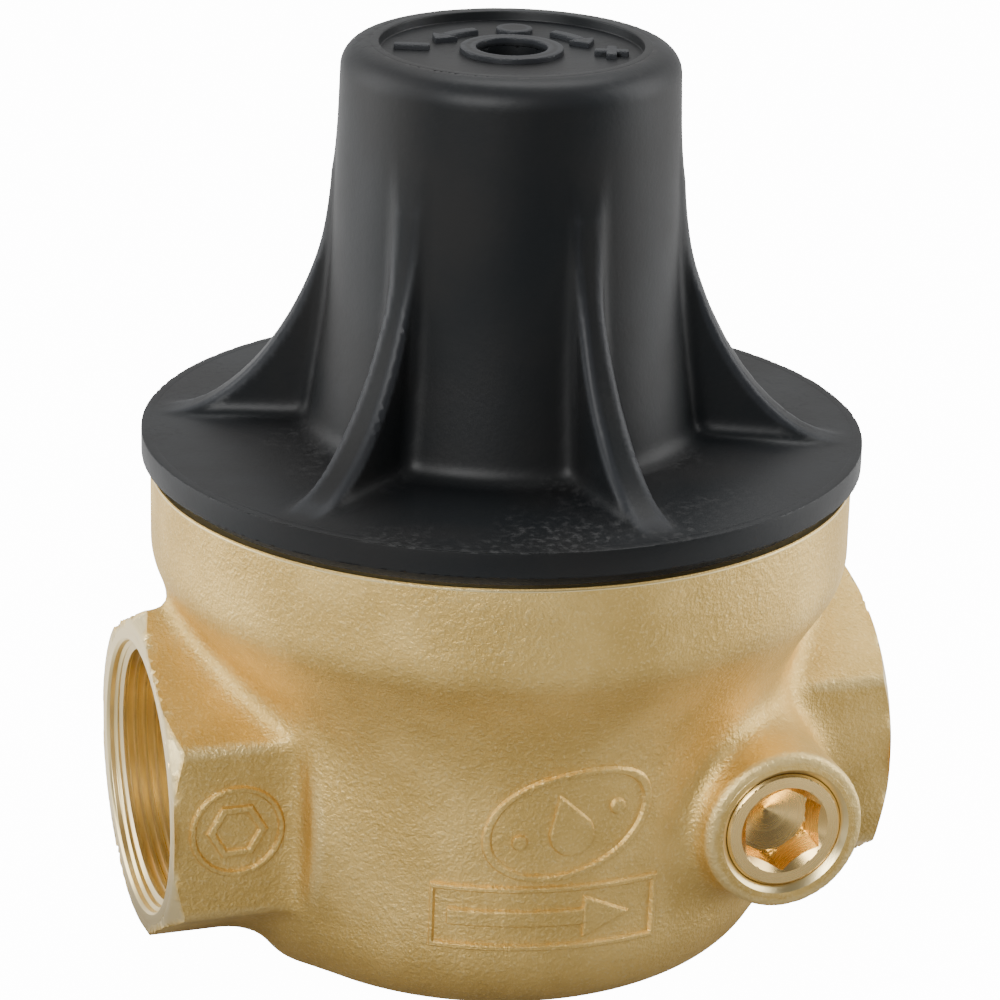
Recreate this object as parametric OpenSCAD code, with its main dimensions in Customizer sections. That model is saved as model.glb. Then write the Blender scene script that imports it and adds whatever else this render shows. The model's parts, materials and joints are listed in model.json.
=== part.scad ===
// Direct-acting pressure reducing valve, DN 50: a forged brass body with two G 2 female ports,
// a ribbed plastic spring bonnet, and a sprung diaphragm that lifts a balanced disc to its seat.
// The origin is the centre of the flat underside. +X is the flow direction and +Z is the bonnet.

/* [Body forging] */
// Radius of the flat underside
base_r = 45.6; // [40:0.1:50]
// Radius of the bowl around the inlet and outlet chambers
bowl_r = 64; // [62:0.5:66]
// Radius of the rounding between the underside and the bowl
bowl_fillet = 18; // [10:0.5:18]
// Height where the bowl starts to widen towards the collar
shoulder_low = 66; // [64:0.5:68]
// Height where the shoulder meets the collar
shoulder_high = 88; // [84:0.5:90]
// Radius of the turned collar
collar_r = 78; // [77:0.5:79]
// Height of the collar's top face
collar_top = 109; // [106:0.5:110]

/* [Ports] */
// Distance from the valve's axis to a port face
port_reach = 83.5; // [82:0.5:86]
// Height of the ports' common axis above the underside
port_z = 41.5; // [41:0.5:43]
// Size across the flats of the port hexagons
port_hex = 69; // [68:0.5:70]
// Radius inside the crests of the G 2 thread
thread_r = 28.33; // [28.2:0.01:28.4]
// Length of the thread
thread_len = 24; // [20:1:24]
// Radius of the mouth chamfer
mouth_r = 30.33; // [30:0.01:31]
// Radius of the sloping ducts behind the threads
duct_r = 19; // [17:0.5:19]
// Slope of the ducts, in degrees
duct_slope = 21.5; // [20:0.5:22]

/* [Gauge port] */
// Distance of the gauge boss from the valve's axis, towards the outlet
boss_x = 46; // [44:0.5:47]
// Distance of the boss's face in front of the valve's axis
boss_reach = 65; // [62:0.5:66]
// Outer radius of the boss
boss_r = 18.2; // [17.5:0.1:19]
// Radius of the plug and of its hole
plug_r = 13.2; // [13:0.1:13.3]
// Size across the flats of the plug's hexagon socket
plug_key = 17; // [14:1:17]

/* [Bonnet] */
// Radius of the bonnet's flange
flange_r = 80; // [79:0.5:81]
// Height of the flange's underside
flange_z = 112; // [111:0.5:113]
// Height of the dome's top
top_z = 204.5; // [203:0.5:206]
// Outer radius of the dome near its top
dome_r = 36.9; // [36:0.1:38]
// Thickness of the stiffening ribs
rib_t = 7; // [4:0.5:8]
// Number of ribs
rib_count = 6; // [4:1:8]
// Angle of the first rib from the flow direction, in degrees
rib_turn = -22; // [-30:1:30]
// Radius of the hole for the adjusting key
key_hole_r = 7.73; // [7.5:0.01:8]

/* [Diaphragm and spring] */
// Height of the ledge that the diaphragm's rim lies on
ledge_z = 88; // [87:0.5:88.5]
// Thickness of the rubber diaphragm
rubber_t = 2.5; // [2:0.1:3]
// How far the diaphragm's centre hangs below its rim with the valve open
centre_drop = 5; // [4:0.5:6]
// Wire diameter of the main spring
wire_d = 5.5; // [4.5:0.5:5.5]
// Mean radius of the main spring
spring_r = 24; // [22:0.5:25]
// Turns of the main spring
spring_turns = 4.75; // [4:0.25:5]

/* [Disc and seat] */
// Radius of the seat ring's thread and of the bore below it
seat_bore_r = 24; // [23:0.5:24]
// Radius of the waterway through the seat
seat_r = 16; // [14:0.5:17]
// Height of the seat's lip
seat_lip_z = 50.5; // [49:0.5:52]
// Lift of the disc from open to closed
stroke = 6; // [4:0.5:6]

/* [Hidden] */
$fn = 96;
gap = 0.05;                                  // running clearance on a radius
eps = 0.5;                                   // how far a cutting tool passes a face

hex_chamfer_r = port_hex / 2 + 0.7;          // where the corner chamfer leaves the port face
neck_start = 20;
neck_end = 54;                               // |X| where the neck steps down to the hexagon
neck_r = 42;
neck_wide_r = 49;
duct_start = port_reach - thread_len - 2;    // |X| where the thread ends
duct_in_x = 62;                              // |X| where a duct's axis meets the ports' axis
duct_in_end = 15;
duct_out_end = 38;
tower_r = seat_bore_r + 6;                   // wall around the seat's bore
tower_top = 60;
chamber_r = 52;
chamber_floor = 60;
cage_floor = 8;                              // bottom of the bore under the seat

rim_r = 70;                                  // diaphragm's outer radius
bore_r = 72;                                 // collar's inner radius
throat_r = 61;                               // free radius under the diaphragm
plate_r = 44;
rubber_top = ledge_z + rubber_t;
centre_z = ledge_z - centre_drop;            // underside of the diaphragm's centre
seat_plate_z = centre_z + rubber_t;
seat_plate_t = 3;
spring_z = seat_plate_z + seat_plate_t;      // the spring's lower end
spring_len = 48;
upper_plate_z = spring_z + spring_len;
upper_plate_t = 5;

stem_r = 5;
stem_body_r = 7;
screw_r = 6.95;
screw_low = upper_plate_z + upper_plate_t + 2;
screw_len = 40;
insert_r = 11;
insert_low = screw_low + 22;
insert_len = 20;
dome_roof_z = 196.5;
dome_foot_r = 43.1;                          // outer radius of the dome where it meets the flange
dome_draft = 2;                              // wall angle of the dome's upper part
foot_draft = 8.5;                            // wall angle of the dome's lower part
recess_floor = top_z - 2.1;

disc_r = 19.8;
disc_top = seat_lip_z - stroke;
piston_r = 12;
piston_low = cage_floor + 6;

// Points of an arc about centre c
function arc(c, r, a0, a1, n = 16) =
    [for (i = [0:n]) let(a = a0 + (a1 - a0) * i / n) c + r * [cos(a), sin(a)]];

// Curve that sweeps in from (r1, z0) to (r0, z1), hollow on its outer side
function sweep_in(r0, z0, r1, z1, power, n = 20) =
    [for (i = [0:n])
        let(a = 90 * i / n)
        [r1 - (r1 - r0) * pow(sin(a), 2 / power), z1 - (z1 - z0) * pow(cos(a), 2 / power)]];

module ring(r_in, r_out, z0, z1) {
    translate([0, 0, z0])
        difference() {
            cylinder(r = r_out, h = z1 - z0);
            translate([0, 0, -eps]) cylinder(r = r_in, h = z1 - z0 + 2 * eps);
        }
}

module torus(r_mean, r_section, z) {
    translate([0, 0, z])
        rotate_extrude() translate([r_mean, 0]) circle(r = r_section, $fn = 32);
}

// Hexagon prism standing on z0, across flats af
module hexagon(af, z0, z1, turn = 0) {
    translate([0, 0, z0]) rotate(turn) cylinder(r = af / 2 / cos(30), h = z1 - z0, $fn = 6);
}

// Puts its children, drawn along +Z, on the port axis so that +Z points out of the given side
module on_port(side) {
    translate([0, 0, port_z]) rotate([0, 90 * side, 0]) children();
}

// Puts its children, drawn along +Z, on the gauge port's axis, pointing out of the front
module on_gauge() {
    translate([boss_x, 0, port_z]) rotate([90, 0, 0]) children();
}

// ---- body ----

module body_turned() {
    rotate_extrude()
        polygon(concat(
            [[0, 0], [base_r, 0]],
            arc([bowl_r - bowl_fillet, bowl_fillet], bowl_fillet, -90, 0),
            [[bowl_r, shoulder_low], [collar_r, shoulder_high], [collar_r, collar_top]],
            [[0, collar_top]]
        ));
}

// Hexagon block with the turned chamfer on its corners, on a round tapered neck
module port_block() {
    intersection() {
        hexagon(port_hex, neck_start, port_reach);
        cylinder(r1 = hex_chamfer_r + port_reach / tan(30), r2 = hex_chamfer_r, h = port_reach);
    }
    translate([0, 0, neck_start]) cylinder(r1 = neck_wide_r, r2 = neck_r, h = neck_end - neck_start);
}

module port_thread() {
    translate([0, 0, duct_start]) cylinder(r = thread_r, h = thread_len + 2 + eps);
    translate([0, 0, port_reach - 2]) cylinder(r1 = thread_r, r2 = mouth_r + eps, h = 2 + eps);
}

// Duct between a port and the chambers; slope > 0 falls towards the valve's axis
module duct(side, slope, end_x) {
    length = (duct_in_x - end_x) / cos(slope);
    translate([side * duct_in_x, 0, port_z])
        rotate([0, -side * (90 + slope), 0])
            cylinder(r = duct_r, h = length);
}

module outlet_chamber() {
    difference() {
        union() {
            translate([0, 0, chamber_floor]) cylinder(r = chamber_r, h = 13);
            translate([0, 0, chamber_floor + 12])
                cylinder(r1 = chamber_r, r2 = throat_r, h = 12);
            translate([0, 0, chamber_floor + 23]) cylinder(r = throat_r, h = 6);
            translate([duct_out_end, 0, port_z]) cylinder(r = duct_r, h = 20);
            duct(1, -duct_slope, duct_out_end);
        }
        cylinder(r = tower_r, h = tower_top);
    }
}

module valve_body() {
    color("#c9a468")
        difference() {
            union() {
                body_turned();
                on_port(-1) port_block();
                on_port(1) port_block();
                on_gauge() translate([0, 0, 20]) cylinder(r = boss_r, h = boss_reach - 20);
            }
            outlet_chamber();
            translate([0, 0, cage_floor]) cylinder(r = seat_bore_r, h = tower_top);
            duct(-1, duct_slope, duct_in_end);
            on_port(-1) port_thread();
            on_port(1) port_thread();
            translate([0, 0, ledge_z]) cylinder(r = bore_r, h = 40);
            translate([-100, -100, -20]) cube([200, 200, 20]);
            on_gauge() translate([0, 0, 48]) cylinder(r = plug_r + gap, h = 40);
            on_gauge() translate([0, 0, 10]) cylinder(r = 5, h = 40);
        }
}

// ---- bonnet ----

module bonnet_shell() {
    rotate_extrude()
        polygon(concat(
            [[62, 92], [bore_r - 0.1, 92], [bore_r - 0.1, flange_z], [flange_r, flange_z]],
            [[flange_r, flange_z + 4.6], [flange_r - 0.8, flange_z + 5.6]],
            arc([dome_foot_r + 2.9, flange_z + 9.2], 2.6, -90, -180 + foot_draft, 6),
            arc([dome_foot_r + 55.4, flange_z + 43.4], 60, -180 + foot_draft, -180 + dome_draft, 4),
            arc([dome_r - 6, top_z - 6], 6, dome_draft, 90),
            [[28.6, top_z], [28.6, recess_floor], [11.2, recess_floor]],
            [[11.2, recess_floor + 1.2], [key_hole_r, recess_floor + 1.2], [key_hole_r, dome_roof_z - 8]],
            [[insert_r + gap, dome_roof_z - 8], [insert_r + gap, insert_low], [16, insert_low]],
            [[16, dome_roof_z], [32.5, dome_roof_z], [34.4, 150], [37.6, 121], [40, 114], [62, 105]]
        ));
}

module bonnet_rib() {
    rotate([90, 0, 0])
        linear_extrude(rib_t, center = true)
            polygon(concat(
                [[40, flange_z + 3]],
                [[flange_r - 3.5, flange_z + 3]],
                sweep_in(37.4, flange_z + 5.6, flange_r - 3.5, 179, 1.8),
                [[36, 179]]
            ));
}

// Generic marks in the recess: minus, plus, a pointer bar on each side and a round button
module bonnet_marks() {
    mark_r = 20;
    translate([0, 0, recess_floor - 0.5])
        linear_extrude(1.7) {
            translate([-mark_r, 0]) square([7, 2.4], center = true);
            translate([mark_r, 0]) square([7, 2.4], center = true);
            translate([mark_r, 0]) square([2.4, 7], center = true);
            translate([0, mark_r]) circle(r = 2.8);
            for (side = [-1, 1])
                rotate(90 - side * 45) translate([mark_r, 0]) square([3, 9], center = true);
        }
}

module bonnet() {
    color("#2c2f33") {
        difference() {
            union() {
                bonnet_shell();
                for (i = [0:rib_count - 1])
                    rotate(rib_turn + 360 * i / rib_count)
                        bonnet_rib();
            }
            translate([0, 0, 130]) cylinder(r = 30, h = insert_low - 131);
        }
        bonnet_marks();
    }
}

module bonnet_seal_ring() {
    color("#141414") ring(bore_r + 0.3, 75.8, collar_top, flange_z);
}

module screw_insert() {
    color("#b98a3e")
        difference() {
            insert_shank();
            translate([0, 0, insert_low - eps]) cylinder(r = screw_r + gap, h = insert_len + 1);
        }
}

// The insert's outside: a round shank with two deep grooves that key it into the plastic
module insert_shank() {
    difference() {
        translate([0, 0, insert_low]) cylinder(r = insert_r, h = insert_len);
        for (z = [insert_low + 5, insert_low + 12]) ring(insert_r - 1, insert_r + 1, z, z + 2.5);
    }
}

// ---- diaphragm group ----

module slip_ring() {
    color("#d8d4c8") ring(62.5, rim_r + 1.5, rubber_top, 92);
}

module diaphragm() {
    inner = 47;
    outer = 61;
    color("#26211e")
        rotate_extrude()
            polygon([
                [stem_r, centre_z], [inner, centre_z], [outer, ledge_z], [rim_r, ledge_z],
                [rim_r, rubber_top], [outer - 1, rubber_top], [inner - 1, seat_plate_z],
                [stem_r, seat_plate_z]
            ]);
}

module lower_plate() {
    color("#c4ccd2")
        rotate_extrude()
            polygon([
                [stem_r, centre_z - 3], [plate_r - 2, centre_z - 3], [plate_r, centre_z - 1.5],
                [plate_r, centre_z], [stem_r, centre_z]
            ]);
}

module spring_seat() {
    z = seat_plate_z;
    color("#c4ccd2")
        rotate_extrude()
            polygon([
                [stem_r, z], [plate_r + 1, z], [plate_r + 1, z + 7], [plate_r - 2, z + 7],
                [plate_r - 2, spring_z], [20.6, spring_z], [20.6, spring_z + 5],
                [17.6, spring_z + 5], [17.6, spring_z], [stem_r, spring_z]
            ]);
}

module stem() {
    low = piston_low + 4;
    high = spring_z + 14;
    drop = centre_z - 3;
    color("#b7bcc2")
        difference() {
            union() {
                translate([0, 0, low]) cylinder(r = 4, h = disc_top - low);
                translate([0, 0, disc_top]) cylinder(r = stem_body_r, h = drop - disc_top);
                translate([0, 0, drop]) cylinder(r = stem_r, h = high - drop - 1);
                translate([0, 0, high - 1]) cylinder(r1 = stem_r, r2 = stem_r - 1, h = 1);
            }
            translate([0, 0, low - eps]) cylinder(r = 1.5, h = drop - low - 8);
            translate([0, 0, drop - 10]) rotate([90, 0, 0]) cylinder(r = 1.5, h = 20, center = true);
        }
}

module top_washer() {
    color("#b7bcc2") ring(stem_r + 0.2, 10.5, spring_z, spring_z + 2);
}

module top_nut() {
    color("#b7bcc2")
        difference() {
            hexagon(17, spring_z + 2, spring_z + 10);
            translate([0, 0, spring_z]) cylinder(r = stem_r, h = 12);
        }
}

// Closed coil of round wire: rings of points swept along the helix, the end rings capped
module main_spring() {
    sides = 10;
    per_turn = 20;
    count = round(spring_turns * per_turn);
    rise = spring_len - wire_d;
    points = [
        for (i = [0:count]) let(a = 360 * i / per_turn, z = spring_z + wire_d / 2 + rise * i / count)
            for (k = [0:sides - 1]) let(b = 360 * k / sides, r = spring_r + wire_d / 2 * cos(b))
                [r * cos(a), r * sin(a), z + wire_d / 2 * sin(b)]
    ];
    walls = [
        for (i = [0:count - 1]) for (k = [0:sides - 1]) let(n = (k + 1) % sides)
            [i * sides + k, i * sides + n, (i + 1) * sides + n, (i + 1) * sides + k]
    ];
    ends = [
        [for (k = [sides - 1:-1:0]) k],
        [for (k = [0:sides - 1]) count * sides + k]
    ];
    color("#8d9196") polyhedron(points, concat(walls, ends), convexity = 10);
}

// ---- adjustment ----

module spring_plate() {
    z = upper_plate_z;
    color("#b7bcc2")
        rotate_extrude()
            polygon([
                [0, z - 3], [17.6, z - 3], [20.6, z], [29.5, z], [29.5, z + 3], [12, z + 3],
                [11, z + upper_plate_t], [0, z + upper_plate_t]
            ]);
}

module thrust_washer() {
    color("#e6e2d6") {
        translate([0, 0, upper_plate_z + upper_plate_t]) cylinder(r = 9, h = 2);
    }
}

module adjusting_screw() {
    top = screw_low + screw_len;
    color("#9a9ea3")
        difference() {
            union() {
                translate([0, 0, screw_low]) cylinder(r1 = screw_r - 1, r2 = screw_r, h = 1);
                translate([0, 0, screw_low + 1]) cylinder(r = screw_r, h = screw_len - 2);
                translate([0, 0, top - 1]) cylinder(r1 = screw_r, r2 = screw_r - 1, h = 1);
            }
            hexagon(6, top - 9, top + eps);
        }
}

// ---- seat, cage and disc ----

module seat_ring() {
    color("#b7bcc2")
        difference() {
            union() {
                translate([0, 0, seat_lip_z + 2]) cylinder(r = seat_bore_r - gap, h = tower_top - seat_lip_z - 2);
                translate([0, 0, tower_top]) cylinder(r = tower_r - 2, h = 3);
                translate([0, 0, seat_lip_z]) cylinder(r1 = seat_r + 1, r2 = seat_r + 3, h = 2);
            }
            translate([0, 0, seat_lip_z - eps]) cylinder(r = seat_r, h = 20);
            ring(seat_bore_r - 1.8, seat_bore_r + 1, seat_lip_z + 4, seat_lip_z + 6);
        }
}

module seat_o_ring() {
    color("#1c1c1c") torus(seat_bore_r - 0.95, 0.85, seat_lip_z + 5);
}

module valve_cage() {
    outer = seat_bore_r - 0.2;
    inner = disc_r + 0.5;
    top = seat_lip_z + 2;
    cup_top = 30;
    color("#dcd9cf") {
        difference() {
            translate([0, 0, cage_floor]) cylinder(r = outer, h = 4);
            translate([0, 0, cage_floor - eps]) cylinder(r = 4, h = 6);
        }
        ring(piston_r + gap, piston_r + 3, cage_floor + 3, cup_top);
        ring(inner, outer, top - 3, top);
        intersection() {
            ring(inner, outer, cage_floor + 3, top - 1);
            for (a = [0, 90])
                rotate(a + 45) translate([-30, -3.5, 0]) cube([60, 7, 60]);
        }
    }
}

module disc_holder() {
    color("#b98a3e")
        difference() {
            union() {
                translate([0, 0, piston_low]) cylinder(r = piston_r, h = disc_top - piston_low - 8);
                translate([0, 0, disc_top - 9]) cylinder(r = disc_r, h = 9);
            }
            ring(12.5, 18, disc_top - 3, disc_top + eps);
            translate([0, 0, disc_top - 3]) cylinder(r = 12.6, h = 4);
            translate([0, 0, piston_low - eps]) cylinder(r = 4, h = 40);
            translate([0, 0, piston_low - eps]) cylinder(r = 9, h = 12 + eps);
            ring(piston_r - 1.8, piston_r + 1, piston_low + 3.5, piston_low + 5.5);
        }
}

module disc_seal() {
    color("#1c1c1c") ring(12.6, 18, disc_top - 3, disc_top);
}

module seal_washer() {
    color("#b7bcc2") ring(4, 12.5, disc_top - 3, disc_top);
}

module piston_o_ring() {
    color("#1c1c1c") torus(piston_r - 0.95, 0.85, piston_low + 4.5);
}

module stem_nut() {
    color("#b7bcc2")
        difference() {
            hexagon(13, piston_low + 6, piston_low + 12);
            translate([0, 0, piston_low]) cylinder(r = 4, h = 20);
        }
}

// ---- gauge port plug ----

module gauge_plug() {
    inner_end = 49;
    face = boss_reach - 0.8;
    bottom = face - 9;
    color("#c78f3c")
        on_gauge()
            difference() {
                union() {
                    translate([0, 0, inner_end]) cylinder(r = plug_r, h = face - inner_end - 0.6);
                    translate([0, 0, face - 0.6]) cylinder(r1 = plug_r, r2 = plug_r - 0.6, h = 0.6);
                }
                hexagon(plug_key, bottom, face + eps, 90);
                translate([0, 0, bottom - 3]) cylinder(r1 = 0.2, r2 = plug_key / 2 - 0.1, h = 3 + gap);
                ring(plug_r - 1.8, plug_r + 1, inner_end + 2, inner_end + 4);
            }
}

module plug_o_ring() {
    color("#1c1c1c") on_gauge() torus(plug_r - 0.95, 0.85, 52);
}

valve_body();
bonnet();
bonnet_seal_ring();
slip_ring();
diaphragm();
lower_plate();
spring_seat();
stem();
top_washer();
top_nut();
main_spring();
spring_plate();
thrust_washer();
adjusting_screw();
screw_insert();
seat_ring();
seat_o_ring();
valve_cage();
disc_holder();
disc_seal();
seal_washer();
piston_o_ring();
stem_nut();
gauge_plug();
plug_o_ring();
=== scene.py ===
# %% [markdown]
# # A pressure reducing valve
# The valve is a forged brass body with two hexagon ports, a black plastic bonnet that holds the
# adjusting spring, and a plugged gauge port. The CAD frame already says where every part is.
# This lesson gives the parts their real surfaces: forged fillets, low raised marks, cut threads
# and moulded ribs, and then their finishes.

# %% Load the frame
import json
import math

import bmesh
import bpy
import numpy as np
from mathutils import Matrix, Vector


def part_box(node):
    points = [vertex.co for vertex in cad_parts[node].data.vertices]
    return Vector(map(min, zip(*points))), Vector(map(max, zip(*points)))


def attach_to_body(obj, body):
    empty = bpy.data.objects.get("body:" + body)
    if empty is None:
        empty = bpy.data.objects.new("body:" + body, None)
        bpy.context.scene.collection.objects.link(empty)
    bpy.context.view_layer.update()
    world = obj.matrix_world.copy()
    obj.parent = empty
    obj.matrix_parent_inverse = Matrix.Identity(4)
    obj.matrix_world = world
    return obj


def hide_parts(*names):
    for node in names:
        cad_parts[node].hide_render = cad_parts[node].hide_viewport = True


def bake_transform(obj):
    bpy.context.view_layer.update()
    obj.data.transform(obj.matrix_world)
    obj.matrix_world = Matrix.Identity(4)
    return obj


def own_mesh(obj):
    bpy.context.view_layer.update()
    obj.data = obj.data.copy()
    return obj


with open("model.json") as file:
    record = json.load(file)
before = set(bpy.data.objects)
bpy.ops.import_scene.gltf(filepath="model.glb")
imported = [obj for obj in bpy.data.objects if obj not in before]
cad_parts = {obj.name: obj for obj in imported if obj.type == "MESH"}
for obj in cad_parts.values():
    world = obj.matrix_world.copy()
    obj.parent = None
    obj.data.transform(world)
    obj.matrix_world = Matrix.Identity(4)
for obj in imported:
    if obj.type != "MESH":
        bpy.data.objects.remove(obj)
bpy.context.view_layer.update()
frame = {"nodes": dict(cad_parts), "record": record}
MM = 0.001

# %% [markdown]
# ## Sizes
# Every size comes from the CAD nodes, so a piece can't drift away from the part it stands for.
# Shapes are worked out in millimetres and turned into metres when their mesh is made.

# %% Sizes of the body and the bonnet
def box_mm(node):
    low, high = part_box(node)
    return np.array(low) / MM, np.array(high) / MM


BODY_LOW, BODY_HIGH = box_mm("valve_body")
BONNET_LOW, BONNET_HIGH = box_mm("bonnet")
PLUG_LOW, PLUG_HIGH = box_mm("gauge_plug")
INSERT_LOW, INSERT_HIGH = box_mm("screw_insert")
INLET = next(m for m in frame["record"]["mounts"] if m["name"] == "inlet")

PORT_REACH = BODY_HIGH[0]
COLLAR_TOP = BODY_HIGH[2]
COLLAR_R = 78.0
BOWL_R = 64.0
BOWL_FILLET = 18.0
SHOULDER = (66.0, 88.0)
PORT_Z = INLET["pos_m"][2] / MM
PORT_FLAT = 34.5
THREAD_CREST = INLET["dims"]["r_mm"]
THREAD_DEPTH = 1.48
THREAD_PITCH = 2.309
THREAD_END = PORT_REACH - INLET["dims"]["length_mm"] - 2.0
BOSS_X = (PLUG_LOW[0] + PLUG_HIGH[0]) / 2
BOSS_R = 18.2
BOSS_REACH = 65.0
PLUG_R = (PLUG_HIGH[0] - PLUG_LOW[0]) / 2
print("ports reach", PORT_REACH, "mm from the axis, at height", PORT_Z, "mm")

# %% [markdown]
# ## Solids as distance fields
# A forging has no sharp inner corners: its shapes flow into each other through fillets. A bevel
# modifier can't do that where a hexagon meets a bowl, but a distance field can. Each shape is a
# formula that is negative inside and positive outside, and a smooth minimum joins two of them
# with a fillet. A mesh is then drawn on the zero level.

# %% Joining and cutting distance fields
def join(a, b, fillet):
    """Union with a fillet of about that size in the corner."""
    h = np.clip(0.5 + 0.5 * (b - a) / fillet, 0, 1)
    return b + (a - b) * h - fillet * h * (1 - h)


def meet(a, b, rounding):
    """Intersection with its edge rounded."""
    return -join(-a, -b, rounding)


def meet_round(a, b, radius):
    """Intersection with an edge that is a true arc of that radius."""
    a, b = a + radius, b + radius
    return np.minimum(np.maximum(a, b), 0) + np.hypot(np.maximum(a, 0), np.maximum(b, 0)) - radius


def span(value, low, high):
    """Slab between two levels."""
    return np.maximum(low - value, value - high)


print("an 8 mm fillet adds", -join(0.0, 0.0, 8.0), "mm where two surfaces cross")

# %% [markdown]
# ## From a field to a mesh
# A field could be turned into a mesh with Blender's volume nodes, but those round every edge. So
# the mesh is drawn here in three steps: a net over a grid, vertices settled on the surface, and
# crisp edges where a tool has cut. First come the few helpers that every mesh needs.

# %% Making a mesh into a piece
def plain_mesh(name, points, faces):
    """Mesh in metres from points in millimetres."""
    mesh = bpy.data.meshes.new(name)
    mesh.from_pydata((np.asarray(points) * MM).tolist(), [], faces)
    mesh.update()
    return mesh


def smooth(mesh, sharp_angle):
    """Smooth shading; edges over that angle in degrees stay sharp."""
    mesh.polygons.foreach_set("use_smooth", [True] * len(mesh.polygons))
    mesh.set_sharp_from_angle(angle=math.radians(sharp_angle))


def point_values(mesh, name, values):
    mesh.attributes.new(name, "FLOAT", "POINT").data.foreach_set("value", values.astype(np.float32))


def show(name, data):
    """New object in the scene around a mesh, a light or a camera."""
    shown = bpy.data.objects.new(name, data)
    bpy.context.scene.collection.objects.link(shown)
    return shown


def bake_modifiers(piece):
    """Puts the result of the piece's modifiers into its mesh."""
    bpy.context.view_layer.update()
    graph = bpy.context.evaluated_depsgraph_get()
    piece.data = bpy.data.meshes.new_from_object(piece.evaluated_get(graph))
    piece.modifiers.clear()

# %% [markdown]
# The field is sampled on a regular grid. Each cell that the surface passes through gets one
# vertex, at the mean of its crossings, and each grid edge that crosses the surface gets one quad.

# %% Surface nets
def neighbours(axis):
    """Slices of a grid's points and of the next ones along the axis."""
    here, ahead = [slice(None)] * 3, [slice(None)] * 3
    here[axis], ahead[axis] = slice(0, -1), slice(1, None)
    return tuple(here), tuple(ahead)


def surface_net(field, low, high, step):
    """Vertices and quads on the field's zero level."""
    axes = [np.arange(low[i] - 2 * step, high[i] + 3 * step, step) for i in range(3)]
    grid = np.meshgrid(*axes, indexing="ij", sparse=True)
    f = field(*grid).astype(np.float32)
    inside = f < 0
    cells = tuple(n - 1 for n in f.shape)
    total = np.zeros(cells + (3,), np.float32)
    count = np.zeros(cells, np.float32)
    for axis in range(3):
        a, b = neighbours(axis)
        fa, fb = f[a], f[b]
        cross = inside[a] != inside[b]
        share = np.where(cross, fa / np.where(cross, fa - fb, 1), 0)
        others = [k for k in range(3) if k != axis]
        for du in (0, 1):
            for dv in (0, 1):
                pick = [slice(None)] * 3
                pick[others[0]] = slice(du, du + cells[others[0]])
                pick[others[1]] = slice(dv, dv + cells[others[1]])
                here, part = cross[tuple(pick)], share[tuple(pick)]
                total[..., axis] += part
                total[..., others[0]] += here * du
                total[..., others[1]] += here * dv
                count += here
    used = count > 0
    index = np.full(cells, -1, np.int64)
    index[used] = np.arange(used.sum())
    corner = np.stack(np.nonzero(used), 1)
    origin = np.array([axes[i][0] for i in range(3)])
    points = origin + step * (corner + total[used] / count[used][:, None])
    quads = []
    for axis in range(3):
        u, v = (axis + 1) % 3, (axis + 2) % 3
        a, b = neighbours(axis)
        ia, ib = inside[a], inside[b]
        for starts_inside in (True, False):
            where = (ia & ~ib) if starts_inside else (~ia & ib)
            at = np.stack(np.nonzero(where), 1)
            at = at[(at[:, u] > 0) & (at[:, v] > 0)]
            ring = []
            for du, dv in ((-1, -1), (0, -1), (0, 0), (-1, 0)):
                cell = at.copy()
                cell[:, u] += du
                cell[:, v] += dv
                ring.append(index[cell[:, 0], cell[:, 1], cell[:, 2]])
            quad = np.stack(ring, 1)
            quads.append(quad if starts_inside else quad[:, ::-1])
    return points, np.concatenate(quads)

# %% [markdown]
# The net's vertices are only near the surface, and Newton steps along its slope bring them onto
# it. A vertex that is close to two cutting shapes is moved onto both, so turned edges stay crisp.

# %% Settling vertices on the surface
EDGE_SNAP, SNAP_LIMIT = 0.55, 2.5
EDGE_REACH = 1.6
TURNED_EDGE = 0.5


def slope(field, p, d=0.05):
    """Gradient of the field at the points."""
    out = np.empty_like(p)
    for i in range(3):
        q = p.copy()
        q[:, i] += d
        ahead = field(*q.T)
        q[:, i] -= 2 * d
        out[:, i] = (ahead - field(*q.T)) / (2 * d)
    return out


def settle(field, p, steps=4):
    """Newton steps onto the zero level."""
    for _ in range(steps):
        g = slope(field, p)
        value = field(*p.T)
        p = p - g * (value / np.maximum((g * g).sum(1), 0.05))[:, None]
    return p


def crisp(parts, p, reach):
    """Moves a vertex that is close to two of the parts' surfaces onto both of them."""
    values = np.stack([part(*p.T) for part in parts])
    for i in range(len(parts)):
        for j in range(i + 1, len(parts)):
            near = (np.abs(values[i]) < reach) & (np.abs(values[j]) < reach)
            others = np.delete(values, (i, j), 0)
            if len(others):
                near &= others.max(0) < reach
            if near.any():
                q = p[near]
                for _ in range(5):
                    q = settle(parts[i], q, 1)
                    q = settle(parts[j], q, 1)
                moved = np.linalg.norm(q - p[near], axis=1) < SNAP_LIMIT * reach
                p[np.flatnonzero(near)[moved]] = q[moved]
    return p


point_on_ball = settle(lambda x, y, z: np.sqrt(x * x + y * y + z * z) - 10, np.array([[6.0, 0.0, 9.0]]))
print("settled on a 10 mm ball:", round(float(np.linalg.norm(point_on_ball)), 4), "mm from its centre")
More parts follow.
